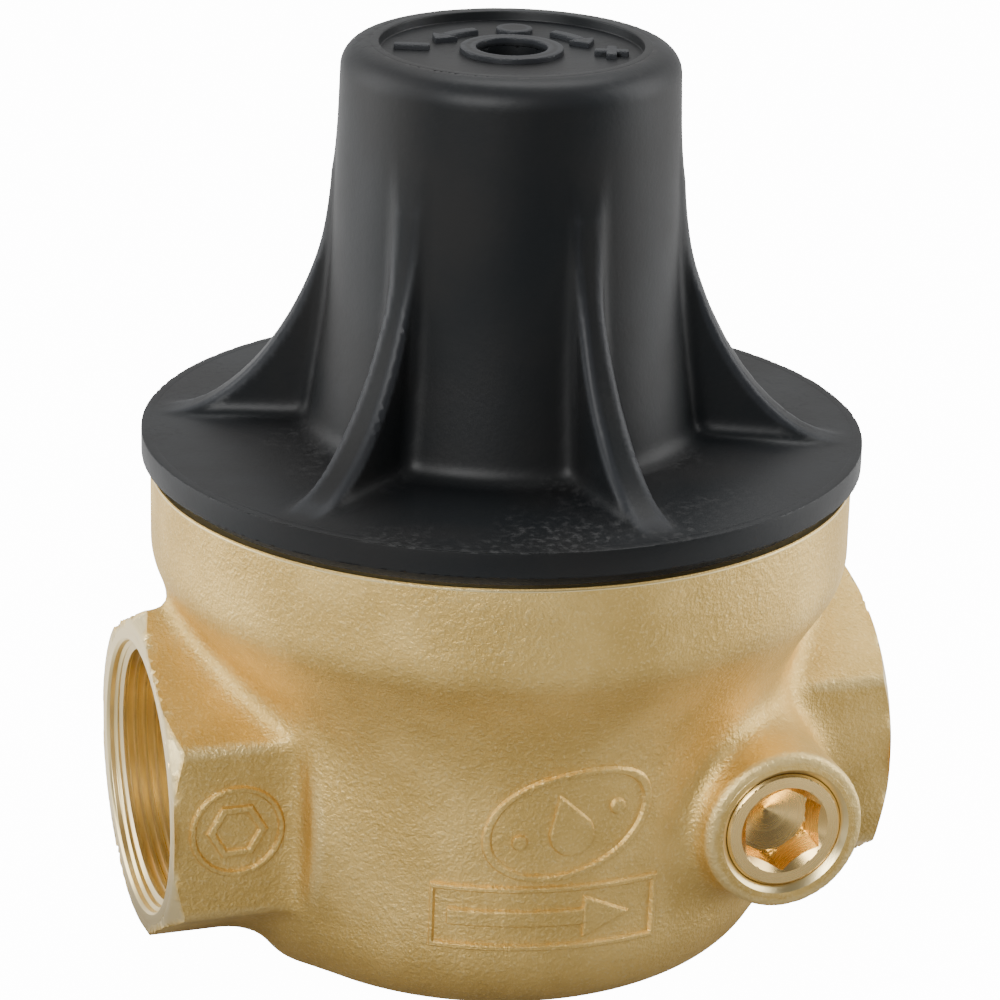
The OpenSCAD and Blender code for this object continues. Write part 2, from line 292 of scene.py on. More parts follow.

# %% [markdown]
# A solid is what is left inside all of its parts: the first is the raw shape and the others are
# cuts. Two attributes go with the mesh, so that the materials know the edges that get a painted highlight
# and the turned faces.

# %% A solid from its parts
def solid_mesh(name, parts, low, high, step, sharp_angle=38):
    """Mesh of the space inside all of the parts. Its attribute 'edge' is high where the first
    part bulges, for a painted edge highlight, and 'turned' is 1 where another part has cut the first one."""
    def field(x, y, z):
        value = parts[0](x, y, z)
        for part in parts[1:]:
            value = np.maximum(value, part(x, y, z))
        return value

    points, quads = surface_net(field, low, high, step)
    points = settle(field, points)
    points = np.clip(crisp(parts, points, EDGE_SNAP * step), low, high)
    bend = -6 * parts[0](*points.T)
    for i in range(3):
        for sign in (-1, 1):
            q = points.copy()
            q[:, i] += sign * EDGE_REACH
            bend += parts[0](*q.T)
    levels = np.stack([part(*points.T) for part in parts])
    lead = levels[1:].max(0) - levels[0]
    mesh = plain_mesh(name, points, quads.tolist())
    point_values(mesh, "edge", np.clip(bend / EDGE_REACH, -1, 1))
    point_values(mesh, "turned", np.clip(lead / TURNED_EDGE, 0, 1))
    smooth(mesh, sharp_angle)
    print(name, len(points), "vertices,", len(quads), "quads")
    return show(name, mesh)

# %% [markdown]
# ## The forged body
# The body was forged as two halves of a die and then turned: a bowl, a shoulder that widens to
# the collar, two hexagon blocks on round necks, and a boss for the gauge port.

# %% Bowl and collar
COLLAR_FILLET, COLLAR_EDGE, COLLAR_ROOT = 8, 2.5, 12


def bowl_field(x, y, z):
    r = np.hypot(x, y)
    bowl = meet_round(r - BOWL_R, -z, BOWL_FILLET)
    bowl = np.maximum(bowl, z - SHOULDER[1])
    run, rise = COLLAR_R - BOWL_R, SHOULDER[1] - SHOULDER[0]
    cone = (rise * (r - BOWL_R) - run * (z - SHOULDER[0])) / math.hypot(run, rise)
    collar = meet(cone, r - COLLAR_R, COLLAR_EDGE)
    collar = meet(collar, SHOULDER[0] - COLLAR_ROOT - z, 4)
    return join(bowl, collar, COLLAR_FILLET)


print("bowl", 2 * BOWL_R, "mm and collar", 2 * COLLAR_R, "mm across")

# %% [markdown]
# A port is a hexagon block for the wrench on a round neck. The block is three pairs of flats with
# rounded corners, and a turned cone takes the corners off at its end. The ends are cut back by a
# cover's thickness, since exact rings are laid over them further down.

# %% Hexagon ports
COVER = 0.03
HEX_INNER_END, HEX_OVERLAP, HEX_ROUNDING = 54.0, 8, 1.6
NECK_WIDE, NECK_NARROW, NECK_LENGTH, NECK_START = 46.5, 42.0, 22, 12
NECK_ROUNDING, BLOCK_FILLET = 2.2, 3
CHAMFER_SLOPE, CHAMFER_START, CHAMFER_END = math.tan(math.radians(30)), 0.7, 9.5


def port_field(x, y, z):
    ax, v = np.abs(x), z - PORT_Z
    rho = np.hypot(y, v)
    s, c = math.sin(math.radians(60)), math.cos(math.radians(60))
    block = meet(np.abs(c * y + s * v), np.abs(c * y - s * v), HEX_ROUNDING)
    block = meet(block, np.abs(y), HEX_ROUNDING) - PORT_FLAT
    block = meet(block, HEX_INNER_END - HEX_OVERLAP - ax, BLOCK_FILLET)
    taper = (NECK_WIDE - NECK_NARROW) / NECK_LENGTH
    neck = rho - NECK_NARROW - taper * (HEX_INNER_END - ax)
    neck = meet_round(neck, ax - HEX_INNER_END, NECK_ROUNDING)
    neck = np.maximum(neck, NECK_START - ax)
    return join(block, neck, BLOCK_FILLET)


def port_chamfer(x, y, z):
    """Cone that takes the corners off the hexagon's end."""
    rho = np.hypot(y, z - PORT_Z)
    chamfer = (rho - PORT_FLAT - CHAMFER_START) * CHAMFER_SLOPE + np.abs(x) - PORT_REACH + COVER
    return np.minimum(chamfer / math.hypot(1, CHAMFER_SLOPE), PORT_FLAT + CHAMFER_END - rho)


print("hexagon", 2 * PORT_FLAT, "mm across its flats")

# %% [markdown]
# The gauge port sits in a round boss. Everything is joined by the wide fillets that a forging die
# needs, and the underside is cut flat, because the valve stands on it.

# %% Gauge boss and the whole forging
BOSS_ROUNDING, BOSS_ROOT = 1.6, 8
PORT_FILLET, BOSS_FILLET, BASE_ROUNDING = 7, 9, 1.5


def from_boss_axis(x, z):
    return np.hypot(x - BOSS_X, z - PORT_Z)


def boss_field(x, y, z):
    boss = meet_round(from_boss_axis(x, z) - BOSS_R, -y - BOSS_REACH, BOSS_ROUNDING)
    return np.maximum(boss, y + BOSS_ROOT)


def forging(x, y, z):
    shape = join(bowl_field(x, y, z), port_field(x, y, z), PORT_FILLET)
    shape = join(shape, boss_field(x, y, z), BOSS_FILLET)
    return meet(shape, -z, BASE_ROUNDING)


print("nearest skin from the bowl's middle:", round(-float(forging(0.0, 0.0, PORT_Z)), 1), "mm")

# %% [markdown]
# The inside is what the tools leave. A port is bored to the thread's root and its mouth is wider;
# the threads themselves are swept further down. Each field is negated, as it cuts the forging.

# %% Bores of the ports and of the gauge plug
ROOT_R = THREAD_CREST + THREAD_DEPTH
MOUTH_R, MOUTH_DEPTH = 33.2, 3.5
BOSS_MOUTH_R, BOSS_MOUTH_DEPTH = 15.9, 3.5
PLUG_BORE_END, GAUGE_DUCT_R = 48, 5


def thread_bore(x, y, z):
    rho = np.hypot(y, z - PORT_Z)
    bore = np.maximum(rho - ROOT_R, THREAD_END - np.abs(x))
    mouth = np.maximum(rho - MOUTH_R + 0.9, PORT_REACH - MOUTH_DEPTH + 0.6 - np.abs(x))
    return -np.minimum(bore, mouth)


def gauge_bore(x, y, z):
    rho = from_boss_axis(x, z)
    wide = np.maximum(rho - PLUG_R - 0.1, y + PLUG_BORE_END)
    mouth = np.maximum(rho - BOSS_MOUTH_R + 0.65, y + BOSS_REACH - BOSS_MOUTH_DEPTH + 0.6)
    narrow = np.maximum(rho - GAUGE_DUCT_R, span(y, -PLUG_BORE_END - 2, -12))
    return -np.minimum(np.minimum(wide, mouth), narrow)


print("thread roots", 2 * ROOT_R, "mm across")

# %% [markdown]
# Water comes in low, rises through the seat and leaves high. So the inlet duct slopes down to the
# bore under the seat, and the outlet duct slopes up to a chamber around a tower that holds the
# seat. Above it are the throat under the diaphragm and the bore that the bonnet screws into.

# %% Ducts and chambers
DUCT_R, DUCT_SLOPE = 19.0, math.radians(21.5)
DUCT_START, OUTLET_DUCT_END, INLET_DUCT_END = 62.0, 38, 15
TOWER_R, TOWER_TOP = 30.0, 60.0
SEAT_BORE_R, SEAT_BORE_FLOOR = 24.0, 8
CHAMBER_R, THROAT_R, THROAT_Z, THROAT_RISE = 52.0, 61.0, 72, 12
BONNET_BORE_R, LEDGE_Z = 72.0, 88.0


def duct_field(x, y, z, side, fall, end):
    """Sloping duct on that side of the axis, down to or up to the radius where it ends."""
    ax, v = side * x, z - PORT_Z
    along = (DUCT_START - ax) * math.cos(DUCT_SLOPE) - fall * v * math.sin(DUCT_SLOPE)
    across = (DUCT_START - ax) * math.sin(DUCT_SLOPE) + fall * v * math.cos(DUCT_SLOPE)
    length = (DUCT_START - end) / math.cos(DUCT_SLOPE)
    return np.maximum(np.hypot(across, y) - DUCT_R, span(along, 0, length))


def chambers(x, y, z):
    r = np.hypot(x, y)
    widening = CHAMBER_R + (THROAT_R - CHAMBER_R) * np.clip((z - THROAT_Z) / THROAT_RISE, 0, 1)
    upper = np.maximum(r - widening, span(z, TOWER_TOP, LEDGE_Z + 2))
    pocket = np.maximum(np.hypot(x - OUTLET_DUCT_END, y) - DUCT_R, span(z, PORT_Z, TOWER_TOP + 2))
    outlet = np.minimum(duct_field(x, y, z, 1, -1, OUTLET_DUCT_END), np.minimum(upper, pocket))
    outlet = np.maximum(outlet, -np.maximum(r - TOWER_R, z - TOWER_TOP))
    below = np.maximum(r - SEAT_BORE_R, span(z, SEAT_BORE_FLOOR, TOWER_TOP + 1))
    inlet = np.minimum(below, duct_field(x, y, z, -1, 1, INLET_DUCT_END))
    mouth = np.maximum(r - BONNET_BORE_R, LEDGE_Z - z)
    return -np.minimum(np.minimum(outlet, inlet), mouth)


body_parts = [
    forging,
    lambda x, y, z: np.abs(x) - PORT_REACH + COVER,
    lambda x, y, z: z - COLLAR_TOP + COVER + 0 * x,
    port_chamfer,
    thread_bore,
    gauge_bore,
    chambers,
]
BODY_STEP = 1.32
body = solid_mesh("body_forging", body_parts, BODY_LOW, BODY_HIGH, BODY_STEP)

# %% [markdown]
# ## The bonnet
# The bonnet is one plastic moulding: a drafted dome on a flange, six ribs that sweep out to the
# flange's rim, and a screwed skirt under it. The ribs' hollow edges follow one curve, a quarter
# of a superellipse, so the ribs are a loop over their angle.

# %% Dome on its flange
FLANGE_R = BONNET_HIGH[1]
FLANGE_Z = 112.0
FLANGE_TOP, FLANGE_FALL = FLANGE_Z + 5.6, 0.03
TOP_Z = BONNET_HIGH[2]
DOME_R, DOME_FOOT_R = 36.9, 43.1
DOME_EDGE, DRAFT_CHANGE = 5.5, 1.5
UPPER_DRAFT, LOWER_DRAFT = math.radians(2), math.radians(8.5)


def dome_field(x, y, z):
    r = np.hypot(x, y)
    upper = (r - DOME_R) * math.cos(UPPER_DRAFT) + (z - TOP_Z + 6) * math.sin(UPPER_DRAFT)
    lower = (r - DOME_FOOT_R) * math.cos(LOWER_DRAFT) + (z - FLANGE_TOP - 1) * math.sin(LOWER_DRAFT)
    dome = meet_round(join(upper, lower, DRAFT_CHANGE), z - TOP_Z + COVER, DOME_EDGE)
    return np.maximum(dome, FLANGE_Z - z)


print("dome", 2 * DOME_R, "mm across at its top, flange", round(2 * FLANGE_R, 1), "mm")

# %% [markdown]
# Ribs carry the spring's load from the dome to the flange. They grow wider towards their foot, as
# a moulding must to leave its tool, and run out before the flange's rim.

# %% Ribs
RIB_COUNT, RIB_TURN = 6, math.radians(-22)
RIB_TOP_Z, RIB_TOP_R, RIB_FOOT_R = 181.0, 37.3, 76.5
RIB_TOP_HALF, RIB_WIDENING, RIB_POWER = 2.3, 0.03, 1.8
RIB_EDGE_ROUNDING, RIB_FILLET, RIB_ROOT_R, RIB_OVERRUN = 1.8, 3.5, 20, 12


def hollow_sweep(z, z0, z1, r0, r1, power):
    """Radius of a curve that runs from r1 at z0 to r0 at z1, hollow outwards, and its slope."""
    t = np.clip((z1 - z) / (z1 - z0), 0, 0.9995)
    rest = 1 - t ** power
    r = r1 - (r1 - r0) * rest ** (1 / power)
    grade = -(r1 - r0) / (z1 - z0) * rest ** (1 / power - 1) * t ** (power - 1)
    return r, grade


def rib_field(x, y, z):
    edge_r, grade = hollow_sweep(z, FLANGE_TOP, RIB_TOP_Z, RIB_TOP_R, RIB_FOOT_R, RIB_POWER)
    edge_r = edge_r - 0.25 * np.maximum(z - RIB_TOP_Z + 6, 0)
    half = RIB_TOP_HALF + RIB_WIDENING * (RIB_TOP_Z - z)
    best = None
    for k in range(RIB_COUNT):
        a = RIB_TURN + 2 * math.pi * k / RIB_COUNT
        u = x * math.cos(a) + y * math.sin(a)
        w = -x * math.sin(a) + y * math.cos(a)
        rib = meet(np.abs(w) - half, (u - edge_r) / np.sqrt(1 + grade ** 2), RIB_EDGE_ROUNDING)
        rib = np.maximum(rib, span(z, FLANGE_Z + 1, RIB_TOP_Z + RIB_OVERRUN))
        rib = np.maximum(rib, RIB_ROOT_R - u)
        best = rib if best is None else np.minimum(best, rib)
    return best

# %% The whole moulding
FOOT_FILLET, RIM_FILLET, FILLET_RUN = 3.5, 0.5, 14


def moulding(x, y, z):
    r = np.hypot(x, y)
    upright = join(dome_field(x, y, z), rib_field(x, y, z), RIB_FILLET)
    fillet = RIM_FILLET + FOOT_FILLET * np.clip((RIB_FOOT_R - r) / FILLET_RUN, 0, 1)
    return join(upright, z - FLANGE_TOP - FLANGE_FALL * (FLANGE_R - r), fillet)


def rim(x, y, z):
    return np.hypot(x, y) - FLANGE_R + COVER + 0 * z


def under_flange(x, y, z):
    return -np.maximum(z - FLANGE_Z - COVER, BONNET_BORE_R - 0.1 - np.hypot(x, y))


def skirt_end(x, y, z):
    return BONNET_LOW[2] - z + 0 * (x + y)


print("ribs:", RIB_COUNT, "from", RIB_TOP_Z, "mm down to the flange at", FLANGE_TOP, "mm")

# %% [markdown]
# Inside, the dome follows its outside at an even wall, because plastic sinks where it is thick.
# The key hole opens into the bore of the brass insert, and the top has a shallow recess.

# %% Inside of the bonnet
RECESS_R, RECESS_Z = 28.6, TOP_Z - 2.1
KEY_HOLE_R = 7.73
SPACE_LEVELS = [105, 114, 121, 150, 196.5]
SPACE_RADII = [62, 40, 37.6, 34.4, 32.5]
INSERT_BOSS_R = 16


def spring_space(x, y, z):
    r = np.hypot(x, y)
    wall = np.interp(z.ravel(), SPACE_LEVELS, SPACE_RADII).reshape(z.shape)
    space = np.maximum(r - wall, z - SPACE_LEVELS[-1])
    return -np.maximum(space, -np.maximum(r - INSERT_BOSS_R, INSERT_LOW[2] - z))


def key_passage(x, y, z):
    r = np.hypot(x, y)
    insert_bore = np.maximum(r - INSERT_HIGH[0] - 0.05, z - INSERT_HIGH[2])
    return -np.minimum(r - KEY_HOLE_R, insert_bore)


def top_recess(x, y, z):
    return -np.maximum(np.hypot(x, y) - RECESS_R - 0.9, RECESS_Z - 0.6 - z)


bonnet_parts = [moulding, rim, under_flange, skirt_end, spring_space, key_passage, top_recess]
bonnet_low = np.array([-FLANGE_R, -FLANGE_R, BONNET_LOW[2]])
bonnet_high = np.array([FLANGE_R, FLANGE_R, TOP_Z])
BONNET_STEP = 1.16
bonnet = solid_mesh("bonnet_moulding", bonnet_parts, bonnet_low, bonnet_high, BONNET_STEP)

# %% [markdown]
# The dome's top carries a ring around the key hole and a few marks that say which way to turn:
# minus, plus, an arrow on each side and a button between them. They are a millimetre high, far
# finer than the dome, so they get their own field with a finer grid.

# %% Marks in the recess
RING_OUT = 11.2
MARK_HIGH = RECESS_Z + 1.2
MARK_TURN = math.radians(-20)
SIGN_AT = 21.5
ARROW_R = 17.3


def bar(u, v, half_u, half_v):
    return np.maximum(np.abs(u) - half_u, np.abs(v) - half_v)


def marks_outline(x, y):
    u = x * math.cos(MARK_TURN) + y * math.sin(MARK_TURN)
    v = -x * math.sin(MARK_TURN) + y * math.cos(MARK_TURN)
    r = np.hypot(u, v)
    ring = np.maximum(r - RING_OUT, KEY_HOLE_R - r)
    minus = bar(u + SIGN_AT, v, 3.9, 1.15)
    plus = np.minimum(bar(u - SIGN_AT, v, 3.7, 1.15), bar(u - SIGN_AT, v, 1.15, 3.7))
    button = np.hypot(u, v - ARROW_R) - 4.0
    turn = np.degrees(np.arctan2(np.abs(u), v))
    along = (turn - 52) * math.radians(1) * ARROW_R
    shaft = bar(along + 2.5, r - ARROW_R, 4.5, 1.3)
    head = np.maximum(np.abs(r - ARROW_R) + 0.75 * (along - 2) - 3.3, 2 - along)
    arrows = np.minimum(shaft, head)
    outline = np.minimum(np.minimum(ring, minus), np.minimum(plus, button))
    return np.minimum(outline, arrows)


def marks_field(x, y, z):
    return meet_round(marks_outline(x, y) + 0 * z, z - MARK_HIGH + 0 * x, 0.3)


marks_low = np.array([-RECESS_R, -RECESS_R, RECESS_Z - 0.6])
marks_high = np.array([RECESS_R, RECESS_R, MARK_HIGH])
marks_parts = [marks_field, lambda x, y, z: RECESS_Z - 0.5 - z + 0 * x]
bonnet_marks = solid_mesh("bonnet_marks", marks_parts, marks_low, marks_high, 0.3)

# %% [markdown]
# ## Raised marks of the forging
# The die leaves marks less than a millimetre high: a ring on the port's flat, an oval on the
# bowl and a panel with the arrow of the flow. Each is a thin sheet with its own fine grid that is
# laid on the forging's field. Where there's no mark the sheet dips under the surface.

# %% Sheets that lie on the forging
SHEET_STEP, SHEET_DEPTH, HIDDEN = 0.3, 1.0, 0.3
MARK_HEIGHT, MARK_SOFTNESS = 0.8, 0.6


def flat_mesh(name, points, faces, sharp_angle=35):
    mesh = plain_mesh(name, points, faces)
    smooth(mesh, sharp_angle)
    return show(name, mesh)


def relief_sheet(name, height, origin, turn, size):
    """Closed sheet on the front of the forging; height(u, v) is in mm over the sheet's ground."""
    us, vs = [np.linspace(-half, half, int(2 * half / SHEET_STEP) + 1) for half in size]
    u, v = [grid.ravel() for grid in np.meshgrid(us, vs, indexing="ij")]
    c, s = math.cos(turn), math.sin(turn)
    start = np.stack([origin[0] + c * u - s * v, origin[1] + 0 * u, origin[2] + s * u + c * v], 1)
    ground = settle(forging, start, 8)
    normal = slope(forging, ground)
    normal /= np.linalg.norm(normal, axis=1)[:, None]
    rise = height(u, v) - HIDDEN
    points = np.concatenate([ground + normal * rise[:, None], ground - normal * SHEET_DEPTH])
    index = np.arange(len(u)).reshape(len(us), len(vs))
    top = np.stack([index[:-1, :-1], index[1:, :-1], index[1:, 1:], index[:-1, 1:]], -1).reshape(-1, 4)
    border = np.concatenate([index[:, 0], index[-1, 1:], index[-2::-1, -1], index[0, -2:0:-1]])
    following = np.roll(border, -1)
    wall = np.stack([border, border + len(u), following + len(u), following], 1)
    faces = np.concatenate([top, top[:, ::-1] + len(u), wall]).tolist()
    print(name, len(points), "vertices")
    return flat_mesh(name, points, faces)


def plateau(distance):
    """Height of a mark over the sheet: full inside its outline, none outside."""
    t = np.clip(0.5 - distance / MARK_SOFTNESS, 0, 1)
    return (MARK_HEIGHT + HIDDEN) * t * t * (3 - 2 * t)


def nut_outline(u, v, flat):
    return np.maximum(np.abs(v), np.abs(0.866 * u) + 0.5 * np.abs(v)) - flat


def port_mark(u, v):
    ring = np.abs(np.hypot(u, v) - 9.9) - 0.7
    nut = np.abs(nut_outline(u, v, 5.0)) - 0.9
    return plateau(np.minimum(ring, nut))


def oval_mark(u, v):
    oval = (np.hypot(u / 20.2, v / 12.4) - 1) * 16
    tip = np.maximum(0.87 * np.abs(u) + 0.5 * v - 3.7, -v - 1.2)
    drop = np.minimum(np.hypot(u, v + 2.6) - 5.0, tip)
    dots = np.hypot(np.abs(u) - 11.5, v + 0.5) - 1.8
    return plateau(np.minimum(np.abs(oval + 0.9) - 0.9, np.minimum(drop, dots)))


def flow_mark(u, v):
    border = np.abs(bar(u, v, 27.5, 7.6) + 0.7) - 0.7
    shaft = bar(u + 6.5, v, 16, 1.9)
    head = np.maximum(np.abs(v) + 0.45 * (u - 9.5) - 4.9, 9.5 - u)
    return plateau(np.minimum(border, np.minimum(shaft, head)))


marks = [
    relief_sheet("port_mark", port_mark, (-69.5, -PORT_FLAT, 42), 0, (11.5, 11.5)),
    relief_sheet("oval_mark", oval_mark, (-4, -BOWL_R, 49), math.radians(17), (21.2, 13.4)),
    relief_sheet("flow_mark", flow_mark, (-9.7, -BOWL_R, 27), math.radians(-1), (28.6, 8.7)),
]

# %% [markdown]
# ## Threads and the spring
# A thread is a ridge that follows a helix, and so is a coil spring. They could be a screw
# modifier, but Geometry Nodes keep pitch, radius and turns as plain inputs of one sweep. Trees are
# easier to read when a node and its links are made in one call, so that helper comes first.

# %% Building node trees
FLOAT, VECTOR, MATERIAL = "NodeSocketFloat", "NodeSocketVector", "NodeSocketMaterial"


def place(tree, kind, inputs=None, **settings):
    """New node with its settings; a socket among the inputs is linked, a value is set."""
    made = tree.nodes.new(kind)
    for key, value in settings.items():
        setattr(made, key, value)
    for key, value in (inputs or {}).items():
        if isinstance(value, bpy.types.NodeSocket):
            tree.links.new(value, made.inputs[key])
        else:
            made.inputs[key].default_value = value
    return made


def multiply(tree, a, b):
    return place(tree, "ShaderNodeMath", {0: a, 1: b}, operation="MULTIPLY").outputs[0]


def geometry_tree(name, *numbers):
    """Tree that makes a mesh from those numbers and a material."""
    tree = bpy.data.node_groups.new(name, "GeometryNodeTree")
    tree.interface.new_socket("Geometry", in_out="OUTPUT", socket_type="NodeSocketGeometry")
    for label in numbers:
        tree.interface.new_socket(label, in_out="INPUT", socket_type=FLOAT)
    tree.interface.new_socket("Material", in_out="INPUT", socket_type=MATERIAL)
    return tree, tree.nodes.new("NodeGroupInput").outputs

# %% [markdown]
# Both trees share two steps: a helix from Blender's spiral node, and a profile swept along it that
# is made a real mesh with its material.

# %% Sweeping a profile along a helix
def helix(tree, given, steps_per_turn, height):
    return place(tree, "GeometryNodeCurveSpiral", {
        "Resolution": steps_per_turn, "Rotations": given["Turns"], "Height": height,
        "Start Radius": given["Radius"], "End Radius": given["Radius"]}).outputs["Curve"]


def sweep(tree, given, path, profile):
    swept = place(tree, "GeometryNodeCurveToMesh", {
        "Curve": path, "Profile Curve": profile, "Fill Caps": True})
    real = place(tree, "GeometryNodeRealizeInstances", {"Geometry": swept.outputs["Mesh"]})
    coated = place(tree, "GeometryNodeSetMaterial", {
        "Geometry": real.outputs["Geometry"], "Material": given["Material"]})
    place(tree, "NodeGroupOutput", {"Geometry": coated.outputs["Geometry"]})
    return tree

# %% [markdown]
# A pipe thread's ridge is a trapezium, broad at the bore's wall and narrow at its crest. It reaches
# a little into the wall, so that no gap shows.

# %% Thread ridge
RIDGE_CORNERS = ((-0.15, -0.49), (-0.15, 0.49), (1.0, 0.09), (1.0, -0.09))


def thread_tree():
    """Ridge of a female thread: base on the bore's wall, crest towards the axis. Its corners are
    shares of the thread's depth and pitch."""
    tree, given = geometry_tree("thread_ridge", "Radius", "Pitch", "Turns", "Depth")
    path = helix(tree, given, 96, multiply(tree, given["Pitch"], given["Turns"]))
    upright = place(tree, "GeometryNodeSetCurveNormal", {"Curve": path}, mode="Z_UP")
    profile = place(tree, "GeometryNodeCurvePrimitiveQuadrilateral", mode="POINTS")
    for number, (inward, across) in enumerate(RIDGE_CORNERS, 1):
        corner = place(tree, "ShaderNodeCombineXYZ", {
            0: multiply(tree, given["Depth"], inward), 1: multiply(tree, given["Pitch"], across)})
        tree.links.new(corner.outputs[0], profile.inputs[f"Point {number}"])
    return sweep(tree, given, upright.outputs["Curve"], profile.outputs["Curve"])


print("ridge:", len(RIDGE_CORNERS), "corners")

# %% [markdown]
# The spring is a round wire. Its pitch eases off at both ends, because the end coils of a real
# spring lie flat on their plates, and it can be trimmed to a part of its length.

# %% Coil spring
COIL_EASE = 0.55


def spring_tree():
    """Coil whose pitch eases off at both ends, where a real spring is closed."""
    tree, given = geometry_tree("coil", "Radius", "Wire", "Length", "Turns", "From", "To")
    path = helix(tree, given, 64, given["Length"])
    here = place(tree, "ShaderNodeSeparateXYZ", {0: place(tree, "GeometryNodeInputPosition").outputs[0]})
    share = place(tree, "ShaderNodeMath", {0: here.outputs["Z"], 1: given["Length"]}, operation="DIVIDE")
    eased = place(tree, "ShaderNodeMapRange", {"Value": share.outputs[0]}, interpolation_type="SMOOTHSTEP")
    level = place(tree, "ShaderNodeMix", {
        "Factor": COIL_EASE, "A": share.outputs[0], "B": eased.outputs["Result"]}).outputs["Result"]
    spot = place(tree, "ShaderNodeCombineXYZ", {
        0: here.outputs["X"], 1: here.outputs["Y"], 2: multiply(tree, level, given["Length"])})
    stretch = place(tree, "GeometryNodeTrimCurve", {
        "Curve": path, "Start": given["From"], "End": given["To"]}, mode="FACTOR")
    moved = place(tree, "GeometryNodeSetPosition", {
        "Geometry": stretch.outputs["Curve"], "Position": spot.outputs[0]})
    profile = place(tree, "GeometryNodeCurvePrimitiveCircle", {
        "Resolution": 24, "Radius": multiply(tree, given["Wire"], 0.5)})
    return sweep(tree, given, moved.outputs["Geometry"], profile.outputs["Curve"])


def swept_piece(name, tree, values, transform, sharp_angle=40):
    """Evaluates the tree once with those inputs and keeps the result as a plain mesh."""
    host = show(name, bpy.data.meshes.new(name + "_host"))
    modifier = host.modifiers.new("sweep", "NODES")
    modifier.node_group = tree
    sockets = {i.name: i.identifier for i in tree.interface.items_tree if i.in_out == "INPUT"}
    for label, value in values.items():
        modifier[sockets[label]] = value
    bake_modifiers(host)
    host.data.transform(transform)
    host.data.name = name
    smooth(host.data, sharp_angle)
    print(name, len(host.data.polygons), "faces")
    return host

# %% [markdown]
# ## Finishes
# Each effect is a node group with named inputs: grain for blasted and moulded skins, lines for
# turned faces, a painted highlight for edges and scuffs for handled plastic. The materials only mix
# them. A few helpers keep the groups short.

# %% Helpers for the shader groups
def shader_tree(name, inputs, *outputs):
    """Tree with its inputs' default values; gives the tree, its inputs and its output node."""
    tree = bpy.data.node_groups.new(name, "ShaderNodeTree")
    for label, value in inputs.items():
        kind = FLOAT if isinstance(value, float) else VECTOR
        tree.interface.new_socket(label, in_out="INPUT", socket_type=kind).default_value = value
    for label in outputs:
        tree.interface.new_socket(label, in_out="OUTPUT", socket_type=FLOAT)
    return tree, tree.nodes.new("NodeGroupInput").outputs, tree.nodes.new("NodeGroupOutput")


def feed(tree, node, **values):
    """Links each socket to the node's input of that name."""
    for key, socket in values.items():
        tree.links.new(socket, node.inputs[key.replace("_", " ")])


def ramp(tree, value, low, high):
    """0 up to the low level, 1 from the high level on."""
    made = place(tree, "ShaderNodeMapRange", {
        "Value": value, "From Min": low, "From Max": high}, interpolation_type="SMOOTHSTEP")
    return made.outputs["Result"]


def object_spot(tree):
    return place(tree, "ShaderNodeTexCoord").outputs["Object"]


def noise(tree, vector, scale, detail, roughness=0.5):
    return place(tree, "ShaderNodeTexNoise", {
        "Vector": vector, "Scale": scale, "Detail": detail, "Roughness": roughness}).outputs[0]


def vector_math(tree, operation, a, b, result=0):
    return place(tree, "ShaderNodeVectorMath", {0: a, 1: b}, operation=operation).outputs[result]

# %% [markdown]
# A forging is blasted with fine shot, which leaves small dents, bright flecks on their crests and
# broad patches that are a little darker. Moulded plastic and rubber have the same, only finer.

# %% Blasted grain
def grain_group():
    tree, given, out = shader_tree(
        "blasted_grain", {"Grains per Metre": 1000.0, "Stains per Metre": 40.0}, "Height", "Fleck", "Stain")
    spot, grains = object_spot(tree), given["Grains per Metre"]
    fine = noise(tree, spot, grains, 5.0)
    coarse = noise(tree, spot, multiply(tree, grains, 0.45), 2.0)
    both = place(tree, "ShaderNodeMath", {0: fine, 1: coarse}, operation="ADD")
    stain = noise(tree, spot, given["Stains per Metre"], 5.0)
    feed(tree, out, Height=both.outputs[0], Fleck=ramp(tree, fine, 0.5, 0.72),
         Stain=ramp(tree, stain, 0.35, 0.68))
    return tree

# %% [markdown]
# A lathe leaves fine rings. Noise in one dimension, read along the distance from the axis plus the
# distance along it, gives rings on round faces and on flat ones alike.

# %% Turning lines
def lines_group():
    """Rings around an axis, on its round faces and its flat ones."""
    tree, given, out = shader_tree(
        "turning_lines", {"Point": (0, 0, 0), "Axis": (0, 0, 1), "Lines per Metre": 2500.0}, "Height")
    arm = vector_math(tree, "SUBTRACT", object_spot(tree), given["Point"])
    side = vector_math(tree, "CROSS_PRODUCT", arm, given["Axis"])
    radius = place(tree, "ShaderNodeVectorMath", {0: side}, operation="LENGTH").outputs["Value"]
    along = vector_math(tree, "DOT_PRODUCT", arm, given["Axis"], "Value")
    way = place(tree, "ShaderNodeMath", {0: radius, 1: along}, operation="ADD")
    lines = place(tree, "ShaderNodeTexNoise", {
        "W": way.outputs[0], "Scale": given["Lines per Metre"], "Detail": 2.0}, noise_dimensions="1D")
    feed(tree, out, Height=lines.outputs[0])
    return tree

# %% [markdown]
# Edges get a painted highlight: a lighter colour that follows the attribute that came with the mesh.
# Scuffs gather on faces that look up, where things are laid down on the valve.

# %% Painted edge highlight and scuffs
# Painted highlight: a lighter colour on convex edges that stands in for the light a rounded edge catches.
def edge_highlight_group():
    tree, given, out = shader_tree("painted_edge_highlight", {"Start": 0.1, "Full": 0.5}, "Wear")
    edge = place(tree, "ShaderNodeAttribute", attribute_name="edge").outputs["Fac"]
    feed(tree, out, Wear=ramp(tree, edge, given["Start"], given["Full"]))
    return tree


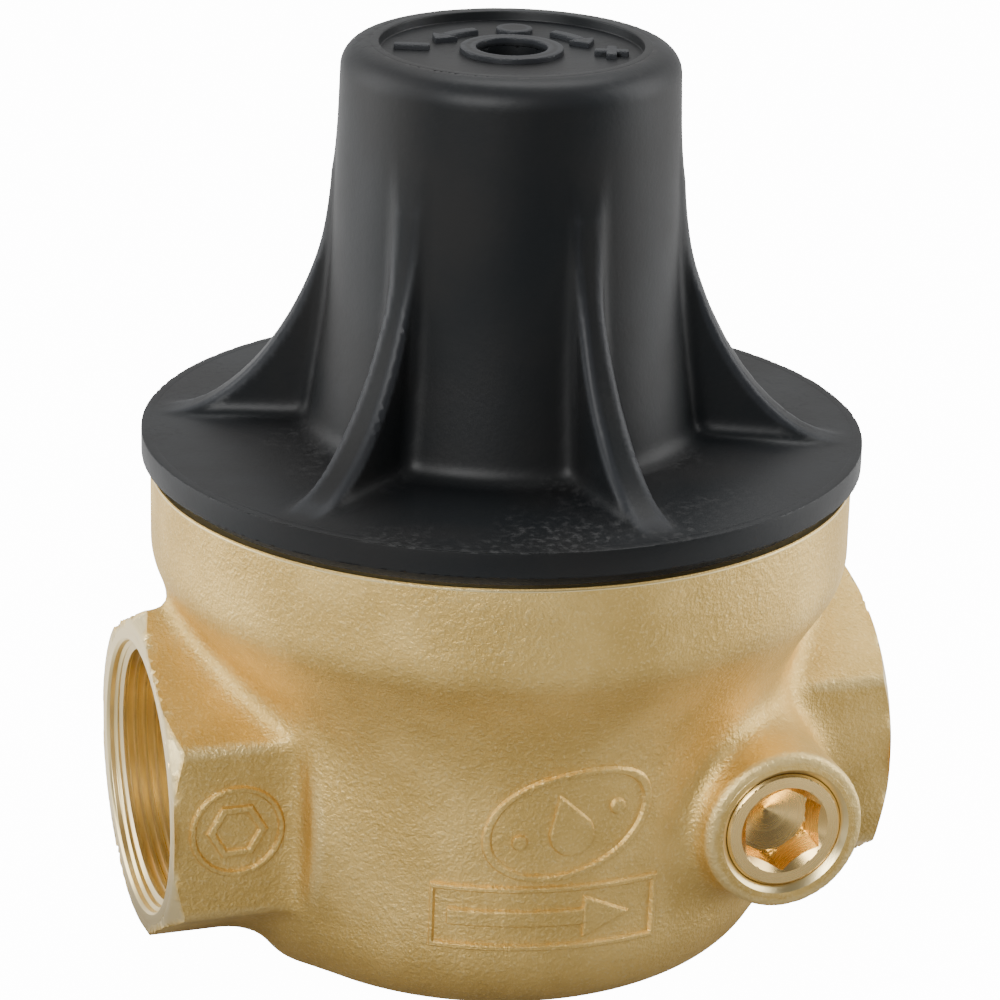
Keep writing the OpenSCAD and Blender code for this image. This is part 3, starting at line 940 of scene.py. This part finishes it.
def scuff_group():
    """Fine marks in patches, only on faces that look up."""
    tree, given, out = shader_tree(
        "scuffs", {"Patches per Metre": 35.0, "Marks per Metre": 900.0}, "Scuff")
    spot = object_spot(tree)
    patch = ramp(tree, noise(tree, spot, given["Patches per Metre"], 4.0), 0.45, 0.7)
    mark = ramp(tree, noise(tree, spot, given["Marks per Metre"], 6.0, 0.7), 0.48, 0.66)
    normal = place(tree, "ShaderNodeNewGeometry").outputs["Normal"]
    up = ramp(tree, place(tree, "ShaderNodeSeparateXYZ", {0: normal}).outputs["Z"], 0.3, 0.9)
    feed(tree, out, Scuff=multiply(tree, multiply(tree, patch, mark), up))
    return tree


GRAIN, LINES, EDGE_HIGHLIGHT, SCUFFS = grain_group(), lines_group(), edge_highlight_group(), scuff_group()
print("shader groups:", [tree.name for tree in (GRAIN, LINES, EDGE_HIGHLIGHT, SCUFFS)])

# %% [markdown]
# Every material starts from the same Principled shader and places the groups with its own values.

# %% Mixing the effects
def new_material(name, **fixed):
    material = bpy.data.materials.new(name)
    material.use_nodes = True
    look = material.node_tree.nodes["Principled BSDF"]
    for key, value in fixed.items():
        look.inputs[key.replace("_", " ")].default_value = value
    return material, material.node_tree, look


def effect(tree, group, **values):
    """Outputs of a shader group with those inputs."""
    made = place(tree, "ShaderNodeGroup", node_tree=group)
    for key, value in values.items():
        made.inputs[key.replace("_", " ")].default_value = value
    return made.outputs


def blend_colors(tree, factor, a, b, strength=1.0):
    """Colour a where the factor is 0, b where it is 1, with the factor scaled by the strength."""
    if strength != 1.0:
        factor = multiply(tree, factor, strength)
    a, b = [(*value, 1) if isinstance(value, tuple) else value for value in (a, b)]
    return place(tree, "ShaderNodeMix", {"Factor": factor, 6: a, 7: b}, data_type="RGBA").outputs[2]


def blend_values(tree, factor, a, b):
    return place(tree, "ShaderNodeMix", {"Factor": factor, "A": a, "B": b}).outputs["Result"]


def bump(tree, height, depth, strength):
    made = place(tree, "ShaderNodeBump", {"Height": height, "Distance": depth, "Strength": strength})
    return made.outputs["Normal"]

# %% [markdown]
# The body has one material for two finishes: the blasted skin, and the faces that a tool has cut,
# which the attribute of the mesh tells apart. Turned parts have the lines all over.

# %% Brass and steel
def forged_brass():
    """Blasted skin, with a painted highlight on its edges, and turned where a tool has cut it."""
    material, tree, look = new_material("forged_brass")
    grain = effect(tree, GRAIN, Grains_per_Metre=1500.0, Stains_per_Metre=45.0)
    edge_light = effect(tree, EDGE_HIGHLIGHT, Start=0.08, Full=0.6)["Wear"]
    lines = effect(tree, LINES, Point=PORT_AXIS["point"], Axis=PORT_AXIS["axis"], Lines_per_Metre=2500.0)
    turned = place(tree, "ShaderNodeAttribute", attribute_name="turned").outputs["Fac"]
    skin = blend_colors(tree, grain["Stain"], BRASS_DARK, BRASS)
    skin = blend_colors(tree, grain["Fleck"], skin, BRASS_FLECK, 0.55)
    # Painted highlight: the brass is made lighter on its edges.
    skin = blend_colors(tree, edge_light, skin, BRASS_EDGE_HIGHLIGHT, 0.55)
    matt = blend_values(tree, grain["Fleck"], 0.5, 0.4)
    height = blend_values(tree, turned, grain["Height"], multiply(tree, lines["Height"], 0.12))
    feed(tree, look, Base_Color=blend_colors(tree, turned, skin, BRASS_TURNED),
         Roughness=blend_values(tree, turned, matt, 0.3), Metallic=blend_values(tree, turned, 0.9, 1.0),
         Normal=bump(tree, height, 0.0003, 0.85))
    return material


def turned_metal(name, color, dark, roughness, point=(0, 0, 0), axis=(0, 0, 1), lines=2500.0):
    material, tree, look = new_material(name, Metallic=1.0)
    rings = effect(tree, LINES, Point=point, Axis=axis, Lines_per_Metre=lines)["Height"]
    stain = effect(tree, GRAIN, Grains_per_Metre=700.0, Stains_per_Metre=60.0)["Stain"]
    feed(tree, look, Base_Color=blend_colors(tree, stain, color, dark),
         Roughness=blend_values(tree, rings, roughness, roughness + 0.14),
         Normal=bump(tree, rings, 0.00003, 0.5))
    return material

# %% [markdown]
# The bonnet's plastic is nearly black and half matt. Its looks come from what breaks it up: two
# close tones, a painted highlight on its edges and dusty scuffs. Rubber and white plastic are plainer.

# %% Plastic and rubber
def black_plastic():
    """Moulded skin with two tones, a painted highlight on its edges and dusty scuffs."""
    material, tree, look = new_material("black_plastic", Specular_IOR_Level=0.29)
    grain = effect(tree, GRAIN, Grains_per_Metre=1200.0, Stains_per_Metre=30.0)
    scuff = effect(tree, SCUFFS, Patches_per_Metre=35.0, Marks_per_Metre=500.0)["Scuff"]
    edge_light = effect(tree, EDGE_HIGHLIGHT, Start=0.1, Full=0.7)["Wear"]
    color = blend_colors(tree, grain["Stain"], PLASTIC, PLASTIC_WARM)
    # Painted highlight: the plastic is made paler on its edges.
    color = blend_colors(tree, edge_light, color, PLASTIC_EDGE_HIGHLIGHT, 0.5)
    rough = blend_values(tree, grain["Stain"], 0.42, 0.5)
    feed(tree, look, Base_Color=blend_colors(tree, scuff, color, PLASTIC_DUST, 0.5),
         Roughness=blend_values(tree, scuff, rough, 0.7), Normal=bump(tree, grain["Height"], 0.00006, 0.35))
    return material


def grained(name, color, other, roughness):
    """Rubber and white plastic: two close tones and a fine skin."""
    material, tree, look = new_material(name)
    grain = effect(tree, GRAIN, Grains_per_Metre=900.0, Stains_per_Metre=80.0)
    feed(tree, look, Base_Color=blend_colors(tree, grain["Stain"], color, other),
         Roughness=blend_values(tree, grain["Fleck"], roughness, roughness + 0.1),
         Normal=bump(tree, grain["Height"], 0.00005, 0.4))
    return material

# %% [markdown]
# Now the tones are chosen. Brass is told from gold by its green side and its darker patches.

# %% Materials
BRASS, BRASS_DARK = (0.89, 0.63, 0.215), (0.70, 0.475, 0.145)
# The second colour on the next line is a painted highlight for the brass's edges.
BRASS_FLECK, BRASS_EDGE_HIGHLIGHT = (0.97, 0.75, 0.33), (0.97, 0.77, 0.36)
BRASS_TURNED = (0.98, 0.79, 0.40)
PLASTIC, PLASTIC_WARM = (0.0070, 0.0085, 0.0098), (0.0098, 0.0098, 0.0098)
# The first colour on the next line is a painted highlight for the plastic's edges.
PLASTIC_EDGE_HIGHLIGHT, PLASTIC_DUST = (0.035, 0.038, 0.044), (0.06, 0.06, 0.06)
PORT_AXIS = {"point": (0, 0, PORT_Z * MM), "axis": (1, 0, 0)}
PLUG_AXIS = {"point": (BOSS_X * MM, 0, PORT_Z * MM), "axis": (0, 1, 0)}
looks = {
    "forged_brass": forged_brass(),
    "turned_brass": turned_metal("turned_brass", (0.85, 0.60, 0.27), (0.76, 0.50, 0.20), 0.22),
    "black_plastic": black_plastic(),
    "rubber": grained("rubber", (0.018, 0.018, 0.018), (0.026, 0.025, 0.024), 0.62),
    "steel": turned_metal("steel", (0.62, 0.62, 0.64), (0.50, 0.50, 0.51), 0.3),
    "spring_steel": turned_metal("spring_steel", (0.20, 0.20, 0.21), (0.13, 0.13, 0.14), 0.38, lines=900.0),
    "white_plastic": grained("white_plastic", (0.78, 0.76, 0.70), (0.72, 0.70, 0.63), 0.35),
}
thread_brass = turned_metal("thread_brass", (0.96, 0.80, 0.46), (0.90, 0.72, 0.38), 0.24, **PORT_AXIS)
plug_brass = turned_metal(
    "plug_brass", (0.96, 0.69, 0.29), (0.92, 0.64, 0.25), 0.2, lines=1800.0, **PLUG_AXIS)
print("materials:", sorted(looks) + [thread_brass.name, plug_brass.name])

# %% [markdown]
# The threads start behind the mouth's chamfer and end where the tap stopped. The two ports face
# away from each other, so each thread is turned to its own side.

# %% Threads in the two ports
MOUTH_CHAMFER, THREAD_RUNOUT = 1.6, 0.5
thread = thread_tree()
thread_length = PORT_REACH - MOUTH_CHAMFER - THREAD_END
thread_turns = round(thread_length / THREAD_PITCH * 8) / 8 - THREAD_RUNOUT
port_threads = []
for name, side in (("inlet_thread", -1), ("outlet_thread", 1)):
    out_of_port = Matrix.Rotation(side * math.pi / 2, 4, "Y")
    thread_start = Matrix.Translation((side * THREAD_END * MM, 0, PORT_Z * MM))
    port_threads.append(swept_piece(name, thread, {
        "Radius": ROOT_R * MM, "Pitch": THREAD_PITCH * MM, "Turns": thread_turns,
        "Depth": THREAD_DEPTH * MM, "Material": thread_brass}, thread_start @ out_of_port))

# %% [markdown]
# The spring is shortened from both ends: the plate comes down on it and the stem lifts it. So the
# coil is made in two lengths that meet where nothing moves.

# %% The main spring in two lengths
SPRING_LOW, SPRING_HIGH = box_mm("main_spring")
WIRE = 5.5
SPRING_TURNS = 4.75
COIL_CUT = 0.41
coil_length = SPRING_HIGH[2] - SPRING_LOW[2] - WIRE
coil = spring_tree()
spring_lengths = []
for name, start, end in (("main_spring_lower", 0.0, COIL_CUT), ("main_spring_upper", COIL_CUT, 1.0)):
    spring_lengths.append(swept_piece(name, coil, {
        "Radius": (SPRING_HIGH[0] - WIRE / 2) * MM, "Wire": WIRE * MM, "Length": coil_length * MM,
        "Turns": SPRING_TURNS, "From": start, "To": end, "Material": looks["spring_steel"]},
        Matrix.Translation((0, 0, (SPRING_LOW[2] + WIRE / 2) * MM))))

# %% [markdown]
# ## The gauge plug
# The plug is turned and then broached: a hexagon socket over a drilled cone. It reads as polished
# brass because its chamfers catch the light, so it gets a field of its own.

# %% Plug with its socket
PLUG_FACE, PLUG_END = -PLUG_LOW[1], -PLUG_HIGH[1]
PLUG_CHAMFER, COUNTERSINK_R = 0.6, 10.1
KEY_FLAT = 8.5
SOCKET_FLOOR = PLUG_FACE - 9
DRILL_SLOPE, DRILL_STEEPNESS = 2.6, 2.8


def plug_turned(x, y, z):
    return np.maximum(from_boss_axis(x, z) - PLUG_R, y + PLUG_END)


def plug_corner(x, y, z):
    return (from_boss_axis(x, z) - PLUG_R + PLUG_CHAMFER - y - PLUG_FACE) / math.sqrt(2)


def plug_face(x, y, z):
    return -y - PLUG_FACE + 0 * (x + z)


def plug_socket(x, y, z):
    u, v = x - BOSS_X, z - PORT_Z
    s, c = math.sin(math.radians(60)), 0.5
    hexagon = np.maximum(np.abs(u), np.maximum(np.abs(s * v + c * u), np.abs(s * v - c * u))) - KEY_FLAT
    return -np.maximum(hexagon, y + SOCKET_FLOOR)


def plug_countersink(x, y, z):
    return -(from_boss_axis(x, z) - COUNTERSINK_R + (PLUG_FACE + y)) / math.sqrt(2)


def plug_drill(x, y, z):
    """Cone that the drill left under the socket."""
    cone = from_boss_axis(x, z) - KEY_FLAT + 0.15 + (y + SOCKET_FLOOR) * DRILL_SLOPE
    return -np.maximum(cone / DRILL_STEEPNESS, -y - SOCKET_FLOOR - 0.3)


plug_parts = [plug_turned, plug_corner, plug_face, plug_socket, plug_countersink, plug_drill]
PLUG_STEP = 0.33
plug = solid_mesh("gauge_plug_turned", plug_parts, PLUG_LOW, PLUG_HIGH, PLUG_STEP, 25)

# %% [markdown]
# ## The parts inside
# The CAD nodes inside are exact but have razor edges. A turned or pressed part has its edges
# broken, so each gets a copy with a small bevel. The rubber rings keep their round CAD shapes.

# %% Bevelled copies
RECORD = frame["record"]
BODY_OF = {node: body_name for body_name, nodes in RECORD["behaviour"]["bodies"].items() for node in nodes}
SLOT_OF = {part["node"]: part["material_slot"] for part in RECORD["subparts"]}
BEVEL_FROM, BEVEL_SHARP = 35, 28


def bevelled_copy(node, width):
    shape = bmesh.new()
    shape.from_mesh(frame["nodes"][node].data)
    bmesh.ops.remove_doubles(shape, verts=shape.verts, dist=1e-6)
    bmesh.ops.dissolve_limit(shape, angle_limit=math.radians(0.5), verts=shape.verts, edges=shape.edges)
    mesh = bpy.data.meshes.new(node + "_finished")
    shape.to_mesh(mesh)
    shape.free()
    mesh.materials.clear()
    mesh.materials.append(looks[SLOT_OF[node]])
    piece = show(node + "_finished", mesh)
    soften = piece.modifiers.new("bevel", "BEVEL")
    soften.width, soften.segments, soften.limit_method = width * MM, 2, "ANGLE"
    soften.angle_limit = math.radians(BEVEL_FROM)
    bake_modifiers(piece)
    smooth(piece.data, BEVEL_SHARP)
    return piece


BEVELLED = {
    "slip_ring": 0.4, "lower_plate": 0.5, "spring_seat": 0.4, "stem": 0.25, "top_washer": 0.3,
    "top_nut": 0.5, "spring_plate": 0.5, "thrust_washer": 0.4, "adjusting_screw": 0.25,
    "screw_insert": 0.3, "seat_ring": 0.25, "valve_cage": 0.3, "disc_holder": 0.3,
    "seal_washer": 0.2, "stem_nut": 0.4,
}
finished = {node: bevelled_copy(node, width) for node, width in BEVELLED.items()}
print("bevelled copies:", sorted(finished))

# %% [markdown]
# The diaphragm is moulded in one piece: a clamped rim, a slanting roll and a flat centre. The
# roll's corners are rounded, since rubber can't be moulded to a sharp fold.

# %% Diaphragm turned from its profile
RUBBER_LOW, RUBBER_HIGH = box_mm("diaphragm")


def rounded_profile(corners, radius, steps=6):
    """The closed polygon with its corners replaced by quadratic curves."""
    corners = np.array(corners, float)
    path = []
    for before, corner, after in zip(np.roll(corners, 1, 0), corners, np.roll(corners, -1, 0)):
        a = corner + (before - corner) * min(radius / np.linalg.norm(before - corner), 0.45)
        b = corner + (after - corner) * min(radius / np.linalg.norm(after - corner), 0.45)
        for t in np.linspace(0, 1, steps):
            path.append((1 - t) ** 2 * a + 2 * t * (1 - t) * corner + t * t * b)
    return np.array(path)


def lathe(name, profile, segments=128):
    """Closed ring: the profile (radius, height) turned once around the axis."""
    angles = np.linspace(0, 2 * math.pi, segments, endpoint=False)
    r, z = profile[:, 0], profile[:, 1]
    points = np.stack([
        np.outer(np.cos(angles), r), np.outer(np.sin(angles), r), np.tile(z, (segments, 1))], -1)
    index = np.arange(segments * len(r)).reshape(segments, len(r))
    right, up = np.roll(index, -1, 0), np.roll(index, -1, 1)
    faces = np.stack([index, right, np.roll(right, -1, 1), up], -1).reshape(-1, 4)
    return flat_mesh(name, points.reshape(-1, 3), faces.tolist())


HOLE_R, ROLL_IN, ROLL_OUT, RUBBER_T = 5.0, 47.0, 61.0, 2.5
FOLD_R = 1.1
low, high, rim_r = RUBBER_LOW[2], RUBBER_HIGH[2], RUBBER_HIGH[0]
diaphragm = lathe("diaphragm_moulded", rounded_profile([
    (HOLE_R, low), (ROLL_IN, low), (ROLL_OUT, high - RUBBER_T), (rim_r, high - RUBBER_T), (rim_r, high),
    (ROLL_OUT - 1, high), (ROLL_IN - 1, low + RUBBER_T), (HOLE_R, low + RUBBER_T)], FOLD_R))
print("diaphragm:", len(diaphragm.data.polygons), "faces")

# %% [markdown]
# ## Turned edges
# The edges that a tool leaves are true circles: the mouths of the ports, the countersink of the
# gauge port, the collar's top edge, the flange's edge and the recess in the dome. Each is turned
# from a profile, so that it stays round where the grid of the forging can't follow it.

# %% Rings with turned edges
def turned_ring(name, corners, radius, transform=None, flats=1.0):
    """Ring from a closed profile (radius, height); its flats are turned (1) or forged skin (0)."""
    piece = lathe(name, rounded_profile(corners, radius, 4), 192)
    shares = [flats if abs(face.normal.z) > 0.9 else 1.0 for face in piece.data.polygons]
    piece.data.attributes.new("turned", "FLOAT", "FACE").data.foreach_set("value", shares)
    if transform is not None:
        piece.data.transform(transform)
    return piece


def facing_out(point, direction):
    """Turns a lathe's +Z to the direction and its origin to the point, both given in mm."""
    turn = Vector(direction).to_track_quat("Z", "Y").to_matrix().to_4x4()
    return Matrix.Translation(Vector(point) * MM) @ turn


FINE, COLLAR_BREAK, PLASTIC_BREAK, FLANGE_BREAK = 0.12, 0.15, 0.3, 0.4
COLLAR_BORE_R, FLANGE_EDGE_IN = 74, 77.6
DISH_IN, DISH_OUT = 9.5, RECESS_R + 2

mouth_in = ROOT_R - 0.3
port_mouth = [
    (MOUTH_R, -MOUTH_DEPTH), (MOUTH_R, 0), (31.0, 0), (30.4, -0.6), (30.4, -1.7), (mouth_in, -2.2),
    (mouth_in, -MOUTH_DEPTH)]
rings = [turned_ring(name, port_mouth, FINE, facing_out((side * PORT_REACH, 0, PORT_Z), (side, 0, 0)))
         for name, side in (("inlet_mouth", -1), ("outlet_mouth", 1))]

countersink_in = PLUG_R + 0.15
countersink = [
    (BOSS_MOUTH_R, -BOSS_MOUTH_DEPTH), (BOSS_MOUTH_R, 0), (14.7, 0), (countersink_in, -1.5),
    (countersink_in, -BOSS_MOUTH_DEPTH)]
boss_face = facing_out((BOSS_X, -BOSS_REACH - COVER, PORT_Z), (0, -1, 0))
rings.append(turned_ring("gauge_port_mouth", countersink, FINE, boss_face, flats=0.0))

edge_r = COLLAR_R + COVER
rings.append(turned_ring("collar_edge", [
    (COLLAR_BORE_R, COLLAR_TOP - 2), (edge_r, COLLAR_TOP - 0.9), (edge_r, COLLAR_TOP - 0.4),
    (edge_r - 0.4, COLLAR_TOP), (COLLAR_BORE_R, COLLAR_TOP)], COLLAR_BREAK))

dish = turned_ring("dome_recess", [
    (DISH_IN, RECESS_Z - 1), (DISH_OUT, RECESS_Z - 1), (DISH_OUT, TOP_Z), (RECESS_R, TOP_Z),
    (RECESS_R - 0.1, RECESS_Z), (DISH_IN, RECESS_Z)], PLASTIC_BREAK)
flange_edge = turned_ring("flange_edge", [
    (FLANGE_EDGE_IN, FLANGE_Z), (FLANGE_R, FLANGE_Z), (FLANGE_R, FLANGE_TOP + COVER),
    (FLANGE_EDGE_IN, FLANGE_TOP + 0.1)], FLANGE_BREAK)
print("turned rings:", [piece.name for piece in rings + [dish, flange_edge]])

# %% [markdown]
# ## Putting the pieces on the frame
# Every piece but the two lengths of the spring rides on the body of the CAD node that it stands for.

# %% Riding and replacing
def dress(piece, look):
    piece.data.materials.clear()
    piece.data.materials.append(look)


def attach(piece, body_name, slot_name, *nodes):
    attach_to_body(piece, body_name)
    if nodes:
        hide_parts(*nodes)


dress(body, looks["forged_brass"])
attach(body, "root", "forged_brass", "valve_body")
for piece in marks + rings:
    dress(piece, looks["forged_brass"])
    attach(piece, "root", "forged_brass")
for piece in port_threads:
    attach(piece, "root", "forged_brass")
dress(bonnet, looks["black_plastic"])
attach(bonnet, "root", "black_plastic", "bonnet")
for piece in (bonnet_marks, dish, flange_edge):
    dress(piece, looks["black_plastic"])
    attach(piece, "root", "black_plastic")
dress(plug, plug_brass)
attach(plug, "root", "turned_brass", "gauge_plug")
for node, piece in finished.items():
    attach(piece, BODY_OF[node], SLOT_OF[node], node)

dress(diaphragm, looks["rubber"])
attach(diaphragm, "root", "rubber", "diaphragm")
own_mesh(diaphragm)

lower, upper = spring_lengths
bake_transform(lower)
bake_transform(upper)
for piece in spring_lengths:
    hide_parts("main_spring")

for node in ("bonnet_seal_ring", "seat_o_ring", "disc_seal", "piston_o_ring", "plug_o_ring"):
    dress(frame["nodes"][node], looks["rubber"])
print("pieces on the frame")

# %% [markdown]
# ## Studio
# A white sweep and four softboxes: left, right, overhead and in front. The floor and the sky look
# brighter to the camera than they are to the object, as on a product page.

# %% Camera
THETA = math.radians(18.5)
CAMERA_BACK, CAMERA_HEIGHT = 0.8424, 0.4115
CAMERA_PITCH, CAMERA_ROLL = math.radians(20.32), math.radians(1.49)
LENS_SHARE = 4.0104


def turn_in(v):
    c, s = math.cos(-THETA), math.sin(-THETA)
    return Vector((c * v[0] - s * v[1], s * v[0] + c * v[1], v[2]))


camera_data = bpy.data.cameras.new("camera")
camera = show("camera", camera_data)
forward = turn_in((0, math.cos(CAMERA_PITCH), -math.sin(CAMERA_PITCH)))
right = turn_in((1, 0, 0))
up = right.cross(forward)
right_rolled = right * math.cos(CAMERA_ROLL) + up * math.sin(CAMERA_ROLL)
up_rolled = up * math.cos(CAMERA_ROLL) - right * math.sin(CAMERA_ROLL)
rotation = Matrix((right_rolled, up_rolled, -forward)).transposed()
camera.matrix_world = Matrix.Translation(turn_in((0, -CAMERA_BACK, CAMERA_HEIGHT))) @ rotation.to_4x4()
camera_data.lens = LENS_SHARE * camera_data.sensor_width
bpy.context.scene.camera = camera

print("camera:", round(camera_data.lens, 1), "mm lens,", CAMERA_BACK, "m away")

# %% [markdown]
# The sky and the paper give light by their own strength, and another one where the camera sees
# them. The paper glows only behind the valve and away from it: the gap near the valve is a painted shadow,
# so its underside stays dark.

# %% Sky, floor and softboxes
CAMERA_WHITE = 14.0
SKY_FRONT, SKY_BACK = 0.13, 0.8
PAPER_END, PAPER_GLOW = -0.36, 0.95
PAPER_NEAR, PAPER_FAR = (0.04, 0.04, 0.04), (0.3, 0.3, 0.3)
FLOOR_SIZE, FLOOR_GAP = 8, 0.0003


def white_for_camera(tree, dim, bright):
    """Strength that is bright where the camera looks straight at it and dim as a light."""
    seen = place(tree, "ShaderNodeLightPath").outputs["Is Camera Ray"]
    return blend_values(tree, seen, dim, bright)


def behind(tree, coordinate, start, full):
    """0 on the camera's side of the object, 1 behind it."""
    away = vector_math(tree, "DOT_PRODUCT", coordinate, turn_in((0, 1, 0)), "Value")
    return ramp(tree, away, start, full)


world = bpy.data.worlds.new("studio")
bpy.context.scene.world = world
world.use_nodes = True
sky_tree = world.node_tree
sky = sky_tree.nodes["Background"]
sky.inputs["Color"].default_value = (1, 1, 1, 1)
direction = place(sky_tree, "ShaderNodeTexCoord").outputs["Generated"]
glow = blend_values(sky_tree, behind(sky_tree, direction, -0.2, 0.6), SKY_FRONT, SKY_BACK)
sky_tree.links.new(white_for_camera(sky_tree, glow, CAMERA_WHITE), sky.inputs["Strength"])

bpy.ops.mesh.primitive_plane_add(size=FLOOR_SIZE, location=(0, 0, -FLOOR_GAP))
floor = bpy.context.object
floor.name = "studio_floor"
paper, paper_tree, paper_look = new_material("paper", Roughness=0.6, Emission_Color=(1, 1, 1, 1))
spot = object_spot(paper_tree)
paper_here = behind(paper_tree, spot, PAPER_END, PAPER_END + 0.12)
distance = place(paper_tree, "ShaderNodeVectorMath", {0: spot}, operation="LENGTH").outputs["Value"]
# Painted shadow: near the valve, except behind it, the paper's glow fades out, as if the valve shaded it.
clear_of_valve = place(paper_tree, "ShaderNodeMath", {
    0: ramp(paper_tree, distance, 0.11, 0.36), 1: behind(paper_tree, spot, -0.02, 0.06)},
    operation="MAXIMUM").outputs[0]
paper_glow = blend_values(paper_tree, multiply(paper_tree, paper_here, clear_of_valve), 0.0, PAPER_GLOW)
feed(paper_tree, paper_look, Base_Color=blend_colors(paper_tree, paper_here, PAPER_NEAR, PAPER_FAR),
     Emission_Strength=white_for_camera(paper_tree, paper_glow, CAMERA_WHITE))
floor.data.materials.append(paper)

AIM = (0, 0, 0.08)
SOFTBOXES = {
    "left_softbox": ((-0.95, 0.1, 0.4), AIM, (0.7, 0.9), 7.5),
    "right_softbox": ((0.95, 0.15, 0.45), AIM, (0.6, 0.9), 7.5),
    "top_softbox": ((0.1, 0.3, 1.1), AIM, (0.7, 0.5), 5),
    "front_softbox": ((-0.4, -1.0, 0.66), (0, 0, 0.06), (0.7, 0.6), 12.5),
}
for name, (spot_seen, aim, size, power) in SOFTBOXES.items():
    light = bpy.data.lights.new(name, "AREA")
    light.shape = "RECTANGLE"
    light.size, light.size_y = size
    light.energy = power
    lamp = show(name, light)
    lamp.location = turn_in(spot_seen)
    lamp.rotation_euler = (Vector(aim) - lamp.location).to_track_quat("-Z", "Y").to_euler()
print("softboxes:", sorted(SOFTBOXES))
